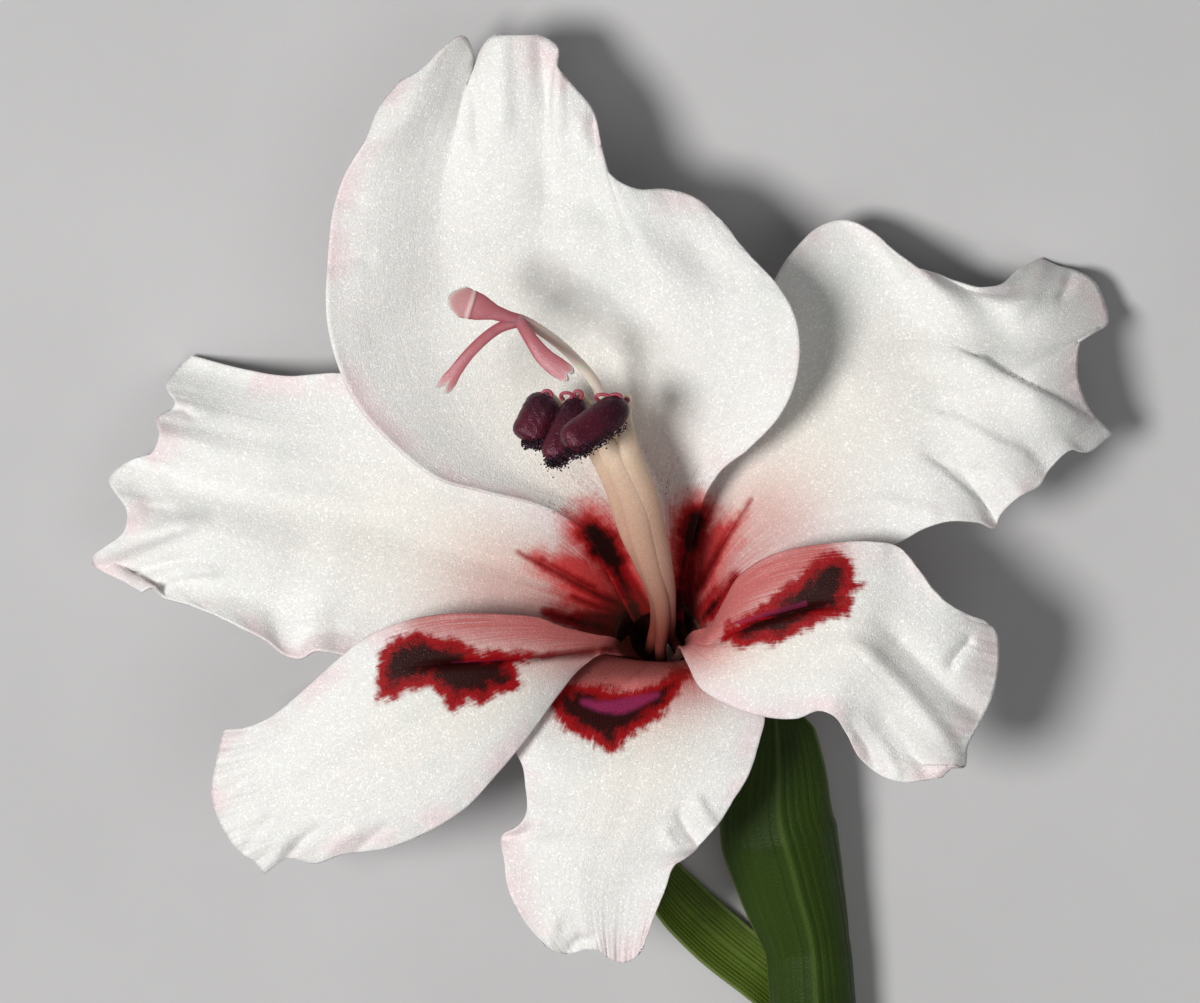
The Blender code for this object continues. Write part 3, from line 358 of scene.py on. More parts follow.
# The style from the ovary to its fork
STYLE_PATH = [(11.7, -25.4, -13.8), (9.5, -17.6, -11.8), (7.1, -11.9, -10.8), (4.4, -6.9, -9.7),
              (1.9, -2.9, -8.5), (0.9, -0.9, -7.7), (0.5, 0.8, -6.3), (0.6, 2.8, -3.8), (0.5, 5.0, -1.2),
              (-0.2, 7.4, 1.6), (-1.0, 9.6, 3.8), (-2.0, 12.6, 6.0), (-3.2, 15.4, 7.6), (-3.9, 17.4, 9.0),
              (-4.3, 18.8, 10.6), (-5.3, 20.2, 12.4), (-7.4, 22.2, 14.2), (-9.4, 23.5, 15.4),
              (-10.3, 23.9, 15.8)]
STYLE_RADIUS = 0.42
# Each stigma branch: its line from the fork, its half width at points along it, the depth of its end's notch,
# and whether its end is folded over
STIGMAS = {
    "left": ([(-9.7, 23.6, 15.7), (-11.2, 24.05, 16.3), (-12.8, 24.6, 16.9), (-15.2, 25.3, 17.3)],
             (0.36, 0.36, 0.50, 0.92, 1.12, 1.08), -0.9, 1.0),
    "low": ([(-9.9, 23.7, 15.8), (-11.6, 23.1, 16.2), (-13.6, 21.4, 16.6), (-15.7, 18.6, 16.4)],
            (0.32, 0.30, 0.33, 0.36, 0.44, 0.72), 0.75, 0.0),
    "right": ([(-10.1, 23.8, 15.9), (-9.4, 22.6, 16.7), (-8.1, 20.9, 17.2), (-6.3, 19.6, 17.4)],
              (0.32, 0.36, 0.46, 0.60, 0.70, 0.66), 0.55, 0.0),
}

# Each bract: its centre line up from the heel, its radius round it, the half angle that it wraps there,
# the way that its open side turns away from, and whether it is the paler, younger one
BRACTS = {
    "bract_outer": {
        "path": [(13.2, -36.5, -16.8), (12.7, -32.5, -15.9), (12.1, -28.0, -14.8), (11.6, -23.4, -13.6),
                 (10.2, -18.6, -12.7), (9.0, -14.0, -11.8), (8.8, -9.0, -10.7), (8.7, -5.0, -9.7),
                 (8.9, -1.4, -8.5)],
        "radius": [2.6, 3.0, 3.1, 3.2, 4.2, 5.2, 5.3, 5.0, 4.4],
        "wrap": [98, 95, 90, 80, 68, 58, 48, 36, 3],
        "facing": [(0.05, 0.1, 1.0), (0.1, 0.1, 1.0)],
        "young": 0.0,
    },
    "bract_inner": {
        "path": [(13.2, -36.5, -16.8), (12.7, -32.5, -15.9), (12.2, -29.4, -15.3), (10.8, -27.8, -14.5),
                 (8.5, -25.6, -13.3), (6.0, -23.4, -12.8), (3.6, -21.0, -12.1), (1.4, -18.4, -11.2),
                 (-1.0, -15.6, -9.9)],
        "radius": [2.6, 2.45, 2.4, 2.9, 3.2, 3.2, 3.1, 2.8, 2.2],
        "wrap": [62, 66, 66, 46, 42, 44, 44, 42, 4],
        "facing": [(0.0, 0.1, -1.0), (-0.6, 0.1, -0.9)],
        "young": 1.0,
    },
}

RNG = np.random.default_rng(7)

# How finely a tepal's edges are followed, its mesh is divided and its width is measured
CURVE_POINTS = 700
BASE_POINTS = 240
TEPAL_GRID = (120, 170)
MEASURES = 21
# How fast folds end, how far frills reach in, their number along each long edge and the tip, how much finer
# their second wave is, and how they shift from one tepal to the next
FOLD_FADE = 4.0
FRILL_REACH = 1.6
FRILL_COUNTS = (11, 10, 9)
FINER_FRILL = 2.3
FRILL_SHIFT = 1.7
FRILL_SHIFT = 1.7
# The share of the wall that is left at a tepal's rim, and how far in it reaches its full weight
THIN_RIM = 0.25
RIM_WIDTH = 3.0
# The ring round the throat in which the dorsal tepal is dotted
DOTS_RING = 11.0
DOTS_WIDTH = 2.4
# How much a rod's rows crowd towards its rounded ends
ROD_END_CROWDING = 0.88
# Anthers and pollen: how flat an anther is, and how many crumbs cling to each or have fallen
ANTHER_DEPTH = 0.8
FRINGE_CRUMBS = 620
FALLEN_CRUMBS = 70
CURL_RADII = (0.16, 0.13, 0.16)
# The stigma branches: their wall in metres, where the folded end's crease lies, and the hairs of each end
BRANCH_WALL = 0.00024
FOLD_PLACE = 0.72
HAIRS = 120
HAIR_LENGTH = 0.17
HAIR_RADIUS = 0.035
BRACT_GRID = (72, 150)
BRACT_RIBS = 15
FLOOR_SIZE = 6.0

# Shades that only one finish uses
SHADES = {
    "dots": (0.30, 0.17, 0.22),
    # throat: dark red that also stands as painted shade deep in the throat
    "throat": (0.095, 0.024, 0.016),
    "tube green": (0.55, 0.62, 0.34),
    # tube inside: dark red that also stands as painted shade inside the tube
    "tube inside": (0.055, 0.016, 0.010),
    "filament shade": (0.62, 0.48, 0.34),
    "filament pink": (0.54, 0.33, 0.24),
    "filament red": (0.22, 0.050, 0.036),
    # filament foot: near-black red, partly painted shade in the throat
    "filament foot": (0.10, 0.018, 0.014),
    "filament tip": (0.34, 0.055, 0.085),
    # anther top: darker purple painted as shade at the anther's top
    "anther top": (0.020, 0.004, 0.009),
    "anther seam": (0.014, 0.003, 0.006),
    # lilac of the painted glints on the anthers
    "anther painted glint": (0.16, 0.05, 0.09),
    "pollen dark": (0.010, 0.002, 0.005),
    "pollen lilac": (0.130, 0.050, 0.120),
    "style": (0.92, 0.83, 0.72),
    "stigma mottle": (0.50, 0.22, 0.24),
    "stigma margin": (0.30, 0.040, 0.070),
    "stigma rim": (0.66, 0.53, 0.50),
    "bract rib": (0.042, 0.078, 0.007),
    "young bract": (0.088, 0.135, 0.014),
    "bract shade": (0.014, 0.030, 0.002),
    "bract keel": (0.10, 0.17, 0.03),
    "bract rim": (0.20, 0.27, 0.08),
    "ovary pale": (0.30, 0.42, 0.15),
    "heel": (0.33, 0.27, 0.12),
}


def size_prop(name, description, default):
    return FloatProperty(name=name, description=description, default=default, unit="LENGTH")


class BloomSizes(bpy.types.PropertyGroup):
    """The sizes that someone might change."""
    petal_wall: size_prop("Tepal wall", "Thickness of a tepal's middle", 0.00042)
    bract_wall: size_prop("Bract wall", "Thickness of a bract", 0.00045)
    frill: size_prop("Frill", "Height of the small waves along a tepal's edge", 0.00007)
    crumb: size_prop("Pollen crumb", "Radius of a crumb of pollen", 0.00007)


def colour_prop(name, description, default):
    return FloatVectorProperty(name=name, description=description, default=default, subtype="COLOR", size=3,
                               min=0.0, max=1.0)


class BloomColours(bpy.types.PropertyGroup):
    """The colours that someone might change."""
    petal: colour_prop("Tepal", "White of the tepals", (0.83, 0.83, 0.815))
    cream: colour_prop("Cream", "Warm white of a tepal's middle", (0.82, 0.77, 0.685))
    # cool: the grey-green of the broad veins and of the soft patches of painted shade on the tepals
    cool: colour_prop("Cool shade", "Grey-green shade in the white", (0.66, 0.70, 0.68))
    blush: colour_prop("Blush", "Pink tinge of edges and tips", (0.82, 0.62, 0.66))
    flush: colour_prop("Throat flush", "Pink that washes out of the throat", (0.52, 0.145, 0.14))
    wash: colour_prop("Wash", "Bright red that the flares fade out in", (0.58, 0.040, 0.040))
    red: colour_prop("Red", "Crimson of the streaks and of the blotches' edges", (0.31, 0.003, 0.006))
    dark: colour_prop("Dark red", "Near-black middle of the blotches", (0.013, 0.0012, 0.0008))
    magenta: colour_prop("Magenta", "Band on the lower middle tepal", (0.26, 0.020, 0.085))
    filament: colour_prop("Filament", "Cream of the filaments", (0.76, 0.62, 0.47))
    anther: colour_prop("Anther", "Purple of the anthers", (0.070, 0.007, 0.016))
    stigma: colour_prop("Stigma", "Pink of the stigma branches", (0.43, 0.145, 0.17))
    # bract: a green darkened as painted shade, for the shade that the bracts lie in; the younger bract is mixed
    # paler
    bract: colour_prop("Bract", "Green of the bracts", (0.022, 0.045, 0.0025))
    ovary: colour_prop("Ovary", "Green of the ovary", (0.22, 0.34, 0.09))
    floor: colour_prop("Floor", "The plain floor", (0.50, 0.50, 0.51))


def sizes():
    return bpy.context.scene.bloom_sizes


def lying_matrix():
    """From the flower's frame in millimetres to the row's frame in metres."""
    a, b, c = REST_POINTS
    up = (b - a).cross(c - a).normalized()
    up = up if up.z > 0 else -up
    across = (Vector((1, 0, 0)) - up * up.x).normalized()
    turn = Matrix((across, up.cross(across), up)).to_4x4()
    return Matrix.Translation(GROUND_SHIFT * MM) @ Matrix.Scale(MM, 4) @ Matrix.Translation(-(turn @ a)) @ turn


LYING = lying_matrix()
TURN = LYING.to_3x3().normalized()


def to_world(points):
    """Flower points in millimetres as world points in metres, none of them out of the solid model's box."""
    world = points @ np.array(LYING.to_3x3()).T + np.array(LYING.translation)
    low, high = np.array(CAD_BOX[0]) + (BOX_MARGIN, BOX_MARGIN, 0.0), np.array(CAD_BOX[1]) - BOX_MARGIN
    return np.clip(world, low, high)


def unit(vectors):
    """The vectors at length 1."""
    return vectors / np.linalg.norm(vectors, axis=-1, keepdims=True)


def bell(x, power=2):
    """1 at 0, dying away smoothly past 1."""
    return np.exp(-x ** power)


def spread(values, t):
    """The values, spread evenly from 0 to 1, read at t."""
    return np.interp(t, np.linspace(0, 1, len(values)), values)


def smooth_curve(points, count):
    """count points spread evenly along the smooth curve through the given points."""
    p = np.array(points, float)
    p = np.vstack([2 * p[0] - p[1], p, 2 * p[-1] - p[-2]])
    knots = np.concatenate([[0], np.cumsum(np.linalg.norm(np.diff(p, axis=0), axis=1) ** 0.5)])
    fine = []
    for i in range(1, len(p) - 2):
        t0, t1, t2, t3 = knots[i - 1:i + 3]
        t = np.linspace(t1, t2, 24, endpoint=False)[:, None]
        a1 = (t1 - t) / (t1 - t0) * p[i - 1] + (t - t0) / (t1 - t0) * p[i]
        a2 = (t2 - t) / (t2 - t1) * p[i] + (t - t1) / (t2 - t1) * p[i + 1]
        a3 = (t3 - t) / (t3 - t2) * p[i + 1] + (t - t2) / (t3 - t2) * p[i + 2]
        b1 = (t2 - t) / (t2 - t0) * a1 + (t - t0) / (t2 - t0) * a2
        b2 = (t3 - t) / (t3 - t1) * a2 + (t - t1) / (t3 - t1) * a3
        fine.append((t2 - t) / (t2 - t1) * b1 + (t - t1) / (t2 - t1) * b2)
    fine = np.vstack(fine + [p[-2]])
    run = np.concatenate([[0], np.cumsum(np.linalg.norm(np.diff(fine, axis=0), axis=1))])
    even = np.linspace(0, run[-1], count)
    return np.stack([np.interp(even, run, fine[:, k]) for k in range(p.shape[1])], axis=1)


def eased(curve):
    """The same curve without its ruffles: its ends stay, and its waves are averaged away."""
    n = len(curve)
    chord = curve[0] + (curve[-1] - curve[0]) * np.linspace(0, 1, n)[:, None]
    waves = curve - chord
    odd = np.vstack([-waves[:0:-1], waves, -waves[-2::-1]])
    kernel = np.exp(-0.5 * (np.arange(-n + 1, n) / (n - 1) / SMOOTHING) ** 2)
    kernel /= kernel.sum()
    return chord + np.stack([np.convolve(odd[:, k], kernel, "same")[n - 1:2 * n - 1] for k in range(3)], axis=1)


def sample(curve, t):
    """The curve's points at the fractions t of its length."""
    return np.stack([spread(curve[:, k], t) for k in range(3)], axis=-1)


def heading(curve, t, step):
    """The way in which the curve runs at the fractions t of its length."""
    return unit(sample(curve, np.clip(t + step, 0, 1)) - sample(curve, np.clip(t - step, 0, 1)))


def line_distance(points, line):
    """The distance of each flat point to a line of straight runs, and how far along it (0 to 1) that is."""
    line = np.array(line, float)
    runs = np.linalg.norm(np.diff(line, axis=0), axis=1)
    start = np.concatenate([[0], np.cumsum(runs)[:-1]])
    best = np.full(len(points), np.inf)
    along = np.zeros(len(points))
    for a, b, run, before in zip(line[:-1], line[1:], runs, start):
        t = np.clip((points - a) @ (b - a) / run ** 2, 0, 1)
        distance = np.linalg.norm(points - (a + t[:, None] * (b - a)), axis=1)
        near = distance < best
        best = np.where(near, distance, best)
        along = np.where(near, (before + t * run) / runs.sum(), along)
    return best, along


def left_of(points, line):
    """Which flat points lie on the left of the line's chord, looking along it."""
    start, end = np.array(line[0]), np.array(line[-1])
    across = np.array((start[1] - end[1], end[0] - start[0]))
    return (points - start) @ across > 0


def inside(points, outline):
    """Which flat points lie in the outline."""
    result = np.zeros(len(points), bool)
    x, y = points.T
    for (x0, y0), (x1, y1) in zip(outline, outline[1:] + outline[:1]):
        crosses = (y0 > y) != (y1 > y)
        with np.errstate(divide="ignore", invalid="ignore"):
            result ^= crosses & (x < (x1 - x0) * (y - y0) / (y1 - y0) + x0)
    return result


def ring_point(radius, degrees):
    """A point of the tube's mouth ring, lifted off the rim by the seat gap."""
    side = Vector((1, 0, 0))
    a = math.radians(degrees)
    return MOUTH + MOUTH_AXIS * SEAT_GAP + (side * math.cos(a) + MOUTH_AXIS.cross(side) * math.sin(a)) * radius


def tepal_patch(spec, u, v):
    """The tepal's points at u across (0 to 1) and v from base to tip, as its solid has them, but finer."""
    arc = [tuple(ring_point(spec["ring"], a)) for a in np.linspace(*spec["angles"], 9)]
    first = smooth_curve([arc[0]] + spec["first"] + [spec["tip"][0]], CURVE_POINTS)
    second = smooth_curve([arc[-1]] + spec["second"] + [spec["tip"][-1]], CURVE_POINTS)
    base = smooth_curve(arc, BASE_POINTS)
    tip = smooth_curve(spec["tip"], CURVE_POINTS)
    su, sv = u[..., None], v[..., None]
    a, b, s, t = sample(eased(first), v), sample(eased(second), v), sample(base, u), sample(eased(tip), u)
    base_bow = s - (1 - su) * base[0] - su * base[-1]
    tip_bow = t - (1 - su) * tip[0] - su * tip[-1]
    points = (1 - su) * a + su * b + (1 - sv) ** END_REACH * base_bow + sv ** END_REACH * tip_bow
    points += (1 - su) ** RUFFLE_REACH * (sample(first, v) - a)
    points += su ** RUFFLE_REACH * (sample(second, v) - b)
    points += sv ** (2 * RUFFLE_REACH) * (sample(tip, u) - t)
    hollow = (4 * u * (1 - u)) ** 0.8 * np.sin(math.pi * v) ** 1.4
    crease = bell((u - 0.5) / 0.05) * np.sin(math.pi * v) ** 0.5
    points[..., 2] -= spec["cup"] * hollow + spec["rib"] * crease
    return points


def select_only(made):
    bpy.ops.object.select_all(action="DESELECT")
    made.select_set(True)
    bpy.context.view_layer.objects.active = made


def start_piece(name, primitive, **settings):
    """A new object that starts as this primitive."""
    bpy.ops.object.select_all(action="DESELECT")
    primitive(**settings)
    made = bpy.context.active_object
    made.name = made.data.name = name
    return made


def vertex_values(made, name):
    """A vector for each vertex: its place or its normal."""
    flat = np.zeros(len(made.data.vertices) * 3)
    made.data.vertices.foreach_get(name, flat)
    return flat.reshape(-1, 3)


def add_grid(name, across, along):
    """A flat grid over the unit square, and each vertex's place across and along it."""
    made = start_piece(name, bpy.ops.mesh.primitive_grid_add, x_subdivisions=across, y_subdivisions=along, size=1.0)
    u, v = vertex_values(made, "co")[:, :2].T + 0.5
    return made, u, v


def place_vertices(made, points):
    """Puts the vertices at these flower points, lying on the ground."""
    made.data.vertices.foreach_set("co", to_world(points).astype(np.float32).ravel())
    made.data.update()


def keep_fields(made, **fields):
    """Stores values for each vertex, or one for all, for the material to read."""
    for name, values in fields.items():
        attribute = made.data.attributes.new(name, "FLOAT", "POINT")
        filled = np.broadcast_to(values, len(made.data.vertices))
        attribute.data.foreach_set("value", filled.astype(np.float32))


def thicken(made, wall, weights=None, thin=0.0, offset=0):
    """Gives a sheet its wall, centred on it for offset 0, and thinner where the weights are low."""
    solid = made.modifiers.new("wall", "SOLIDIFY")
    solid.thickness = wall
    solid.offset = offset
    if weights is not None:
        group = made.vertex_groups.new(name="wall")
        for level in np.unique(np.round(weights, 2)):
            group.add(np.where(np.round(weights, 2) == level)[0].tolist(), float(level), "REPLACE")
        solid.vertex_group = group.name
        solid.thickness_vertex_group = thin
    select_only(made)
    bpy.ops.object.modifier_apply(modifier=solid.name)


def mark_front(made, count, rim):
    """1 on the face that looks out of the flower and round its rim, 0 on its back: Solidify keeps the first
    sheet's order."""
    facing = vertex_values(made, "normal") @ np.array(TURN @ Vector((0, 0, 1)))
    first_sheet_in_front = facing[:count].mean() > 0
    front = np.zeros(len(facing))
    front[:count] = 1.0 if first_sheet_in_front else rim
    front[count:] = rim if first_sheet_in_front else 1.0
    keep_fields(made, front=front)


def finish_piece(made, paint, slot, *nodes):
    """Shades a piece smooth, paints it, hangs it on the root body and hides the solid model's pieces that it stands
    for.
    """
    select_only(made)
    bpy.ops.object.shade_smooth()
    made.data.materials.clear()
    made.data.materials.append(paint)
    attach(made, "root")
    if nodes:
        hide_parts(*nodes)
    bpy.ops.object.select_all(action="DESELECT")


def join_pieces(name, pieces):
    """One piece out of several."""
    select_only(pieces[0])
    for piece in pieces:
        piece.select_set(True)
    bpy.ops.object.join()
    made = bpy.context.active_object
    made.name = made.data.name = name
    return made


def close_seam(made):
    """Merges the rolled sheet's seam and poles, and turns its faces outwards."""
    select_only(made)
    bpy.ops.object.mode_set(mode="EDIT")
    bpy.ops.mesh.select_all(action="SELECT")
    bpy.ops.mesh.remove_doubles(threshold=0.000002)
    bpy.ops.mesh.normals_make_consistent(inside=False)
    bpy.ops.object.mode_set(mode="OBJECT")


def add_rod(name, points, radii, sides, count, rounded=True, flatness=(1.0,), lobes=(2, 0.0), start=0.0):
    """A rod along the smooth curve through the points: a sheet rolled up round it, with rounded ends. flatness
    widens it across the first bend, lobes give it that many low ridges, and start is its first along value."""
    made, u, v = add_grid(name, sides, count)
    stations = np.linspace(0, 1, count + 1)
    row = np.round(v * count).astype(int)
    if rounded:
        stations = stations - ROD_END_CROWDING * np.sin(2 * math.pi * stations) / (2 * math.pi)
    fine = smooth_curve(points, 900)
    line = sample(fine, stations)
    ahead = heading(fine, stations, 0.004)
    side = np.cross(ahead[0], (0.0, 0.0, 1.0))
    sides_way = []
    for way in ahead:
        side = unit(side - way * (side @ way))
        sides_way.append(side)
    sides_way = np.array(sides_way)
    others_way = np.cross(ahead, sides_way)
    thick = spread(radii, stations)
    wide = np.sqrt(spread(flatness, stations))
    if rounded:
        length = np.linalg.norm(np.diff(fine, axis=0), axis=1).sum()
        from_end = np.minimum(stations, 1 - stations) * length
        thick = thick * np.sqrt(1 - np.clip(1 - from_end / thick, 0, 1) ** 2)
    angle = 2 * math.pi * u
    reach = thick[row] * (1 + lobes[1] * np.cos(lobes[0] * angle))
    place_vertices(made, line[row] + (reach * wide[row] * np.cos(angle))[:, None] * sides_way[row]
                   + (reach / wide[row] * np.sin(angle))[:, None] * others_way[row])
    keep_fields(made, along=start + (1 - start) * v)
    close_seam(made)
    return made


class Nodes:
    """A node tree, with short ways to add to it."""

    def __init__(self, tree):
        self.tree = tree

    def feed(self, socket, value):
        """Gives the socket another node's output, a number, or a colour."""
        if isinstance(value, bpy.types.NodeSocket):
            self.tree.links.new(value, socket)
        else:
            socket.default_value = (*value, 1.0) if socket.type == "RGBA" else value

    def add(self, kind, inputs=None, **settings):
        """A node with its settings, each input a value or another node's output."""
        made = self.tree.nodes.new(kind)
        for key, value in settings.items():
            setattr(made, key, value)
        for key, value in (inputs or {}).items():
            self.feed(made.inputs[key], value)
        return made

    def mix(self, factor, first, second):
        """A colour between two, by the factor."""
        return self.add("ShaderNodeMix", {0: factor, 6: first, 7: second}, data_type="RGBA").outputs[2]

    def steps(self, value, low, high, to=(0.0, 1.0), kind="SMOOTHSTEP"):
        """0 to 1, or one value of to till the other, as the value goes from low to high."""
        given = {"Value": value, "From Min": low, "From Max": high, "To Min": to[0], "To Max": to[1]}
        return self.add("ShaderNodeMapRange", given, interpolation_type=kind).outputs["Result"]

    def ramp(self, value, low=0.0, high=1.0):
        """A straight ramp from low to high as the value goes from 0 to 1."""
        return self.steps(value, 0.0, 1.0, (low, high), "LINEAR")

    def calc(self, operation, a, b=0.0):
        return self.add("ShaderNodeMath", {0: a, 1: b}, operation=operation).outputs[0]

    def times(self, a, b):
        return self.calc("MULTIPLY", a, b)

    def plus(self, a, b):
        return self.calc("ADD", a, b)

    def from_middle(self, value):
        """How far the value is from 0.5."""
        return self.calc("ABSOLUTE", self.calc("SUBTRACT", value, 0.5))

    def field(self, name):
        return self.add("ShaderNodeAttribute", attribute_name=name).outputs["Fac"]

    def noise(self, vector, scale, detail=3.0, roughness=0.55):
        given = {"Vector": vector, "Scale": scale, "Detail": detail, "Roughness": roughness}
        return self.add("ShaderNodeTexNoise", given).outputs["Fac"]

    def toned(self, value, colour):
        """The colour made brighter or darker."""
        return self.add("ShaderNodeHueSaturation", {"Value": value, "Color": colour}).outputs["Color"]


class Group(Nodes):
    """A shader node group: its socket Vector is a vector, and every other one is a number."""

    def __init__(self, name, inputs, outputs):
        super().__init__(bpy.data.node_groups.new(name, "ShaderNodeTree"))
        for labels, way in ((inputs, "INPUT"), (outputs, "OUTPUT")):
            for label in labels:
                kind = "NodeSocketVector" if label == "Vector" else "NodeSocketFloat"
                self.tree.interface.new_socket(name=label, in_out=way, socket_type=kind)
        self.given = self.tree.nodes.new("NodeGroupInput").outputs
        self.out = self.tree.nodes.new("NodeGroupOutput").inputs


def skin_cells_group():
    """The tiny swollen cells of plant skin: the tone of each, which of them sparkle, and their height."""
    group = Group("skin cells", ("Vector", "Cells per metre"), ("Tone", "Sparkle", "Height"))
    given = {"Vector": group.given["Vector"], "Scale": group.given["Cells per metre"]}
    cells = group.add("ShaderNodeTexVoronoi", given).outputs
    tone = group.add("ShaderNodeSeparateColor", {"Color": cells["Color"]}).outputs
    group.feed(group.out["Tone"], tone["Red"])
    group.feed(group.out["Sparkle"], group.steps(tone["Green"], 0.88, 0.94))
    group.feed(group.out["Height"], group.calc("SUBTRACT", 1.0, cells["Distance"]))
    return group.tree


def veins_group():
    """Fine lines that run along a piece from base to tip, by its UV map: a mask and a height."""
    group = Group("veins", ("Vector", "Across", "Along"), ("Mask", "Height"))
    stretch = group.add("ShaderNodeCombineXYZ", {"X": group.given["Across"], "Y": group.given["Along"], "Z": 1.0})
    drawn_out = group.add("ShaderNodeVectorMath", {0: group.given["Vector"], 1: stretch.outputs[0]},
                          operation="MULTIPLY")
    streaks = group.noise(drawn_out.outputs[0], 1.0, 4.0, 0.6)
    group.feed(group.out["Mask"], group.steps(streaks, 0.50, 0.66))
    group.feed(group.out["Height"], streaks)
    return group.tree


class Paint(Nodes):
    """A Principled material and its nodes."""

    def __init__(self, name, roughness, **sockets):
        self.material = bpy.data.materials.new(name)
        self.material.use_nodes = True
        super().__init__(self.material.node_tree)
        self.shader = self.tree.nodes["Principled BSDF"].inputs
        self.shader["Roughness"].default_value = roughness
        for key, value in sockets.items():
            self.feed(self.shader[key.replace("_", " ")], value)
        coordinates = self.tree.nodes.new("ShaderNodeTexCoord").outputs
        self.place, self.uv = coordinates["Object"], coordinates["UV"]
        self.colours = bpy.context.scene.bloom_colours

    def skin(self, cells_per_metre):
        """The outputs of the skin's cells."""
        shared = bpy.data.node_groups.get("skin cells") or skin_cells_group()
        given = {"Vector": self.place, "Cells per metre": cells_per_metre}
        return self.add("ShaderNodeGroup", given, node_tree=shared).outputs

    def veins(self, across, along):
        """The outputs of the veins, this fine across and along the piece."""
        shared = bpy.data.node_groups.get("veins") or veins_group()
        given = {"Vector": self.uv, "Across": across, "Along": along}
        return self.add("ShaderNodeGroup", given, node_tree=shared).outputs

    def patches(self, scale, low, high, detail=3.0):
        """Soft patches: 0 where the noise is at low, 1 where it is at high."""
        return self.steps(self.noise(self.place, scale, detail), low, high)

    def done(self, colour, height, depth, strength):
        """The material with this colour, and this height in its skin."""
        self.feed(self.shader["Base Color"], colour)
        bump = self.add("ShaderNodeBump", {"Height": height, "Distance": depth, "Strength": strength})
        self.feed(self.shader["Normal"], bump.outputs["Normal"])
        return self.material


def petal_material():
    """White petal with its cool and cream shades, the cool one partly painted shade, blush, throat flush, red
    flares and dark blotches, a throat darkened with painted shade, and painted glints.
    """
    p = Paint("petal_white", 0.50, Subsurface_Weight=0.18, Subsurface_Scale=0.0006,
              Subsurface_Radius=(1.0, 0.75, 0.65), Specular_IOR_Level=0.14)
    c = p.colours
    cells, fine, broad = p.skin(8400.0), p.veins(120.0, 5.0), p.veins(34.0, 2.4)
    split = p.add("ShaderNodeSeparateXYZ", {"Vector": p.uv}).outputs

    # the white: warm in the lower middle, cool grey-green in soft patches of painted shade that partly stand for
    # thinner, translucent places, pink at the rim
    warm = p.times(p.steps(p.from_middle(split["X"]), 0.42, 0.05), p.steps(split["Y"], 0.95, 0.30))
    colour = p.mix(p.times(warm, 0.75), c.petal, c.cream)
    colour = p.mix(p.times(p.patches(130.0, 0.50, 0.72), 0.38), colour, c.cool)
    colour = p.mix(p.times(broad["Mask"], 0.10), colour, c.cool)
    rim = p.times(p.steps(p.field("edge"), 2.6, 0.2), p.patches(210.0, 0.42, 0.66, 2.0))
    colour = p.mix(p.times(rim, 0.55), colour, c.blush)

    # the pink that washes out of the throat, in strands, and the dotted lines above it
    strands = p.calc("SUBTRACT", fine["Height"], 0.5)
    flush = p.field("flush")
    colour = p.mix(p.ramp(p.plus(flush, p.times(strands, flush))), colour, c.flush)
    dotted = p.times(p.steps(fine["Height"], 0.52, 0.60), p.patches(2600.0, 0.46, 0.56, 1.0))
    colour = p.mix(p.times(p.times(dotted, p.field("dots")), 0.75), colour, SHADES["dots"])

    # flares, streaks and blotches, with edges that fray along the veins, and fainter on the petal's back
    rough = p.calc("SUBTRACT", p.noise(p.place, 900.0, 5.0, 0.65), 0.5)
    fray = p.plus(p.times(strands, 0.85), p.times(rough, 1.8))
    shown = p.ramp(p.field("front"), 0.22)
    for name, low, high, paint, strength, frayed in (
            ("red", -1.6, 0.7, c.wash, 0.96, 1.2),
            ("streak", -0.34, 0.10, c.red, 0.80, 0.25),
            ("streak", -0.02, 0.38, c.dark, 0.75, 0.20),
            ("blotch", -0.50, 0.16, c.red, 1.0, 1.0),
            ("blotch", 0.20, 1.15, c.dark, 0.97, 1.2),
            ("spot", -0.95, 0.0, c.red, 0.95, 0.7),
            ("spot", -0.32, 0.42, c.dark, 1.0, 0.85),
            ("magenta", -0.34, 0.20, c.magenta, 0.95, 0.25),
            ("rib", -0.10, 0.05, c.magenta, 0.45, 0.05)):
        amount = p.steps(p.plus(p.field(name), p.times(fray, frayed)), low, high)
        colour = p.mix(p.times(p.times(amount, strength), shown), colour, paint)
    # the throat's dark red with painted shade, where the deep field says the tepal dives into the throat
    colour = p.mix(p.times(p.field("deep"), shown), colour, SHADES["throat"])

    # each cell a little brighter or darker, and a few painted brighter as painted glints that catch the light
    glint = p.plus(p.ramp(cells["Tone"], 0.89), p.times(cells["Sparkle"], 0.18))
    p.feed(p.shader["Roughness"], p.ramp(cells["Sparkle"], 0.55, 0.34))
    bumps = p.plus(p.times(broad["Height"], 0.7), p.times(cells["Height"], 0.6))
    return p.done(p.toned(glint, colour), p.plus(p.times(fine["Height"], 0.45), bumps), 0.00006, 0.9)


def tube_material():
    """The tube: greenish white outside, and dark red inside and at its mouth, darkened as painted shade."""
    p = Paint("tube_white", 0.45, Subsurface_Weight=0.15, Subsurface_Scale=0.0006)
    along = p.field("along")
    colour = p.mix(p.steps(along, 0.25, 1.0), p.colours.petal, SHADES["tube green"])
    colour = p.mix(p.times(p.patches(420.0, 0.45, 0.7), 0.3), colour, p.colours.cream)
    # painted shade: the inner wall and the mouth end painted dark red
    dark = p.calc("MAXIMUM", p.steps(along, 0.08, 0.01), p.field("inner"))
    colour = p.mix(dark, colour, SHADES["tube inside"])
    return p.done(colour, p.skin(6500.0)["Height"], 0.00004, 0.7)


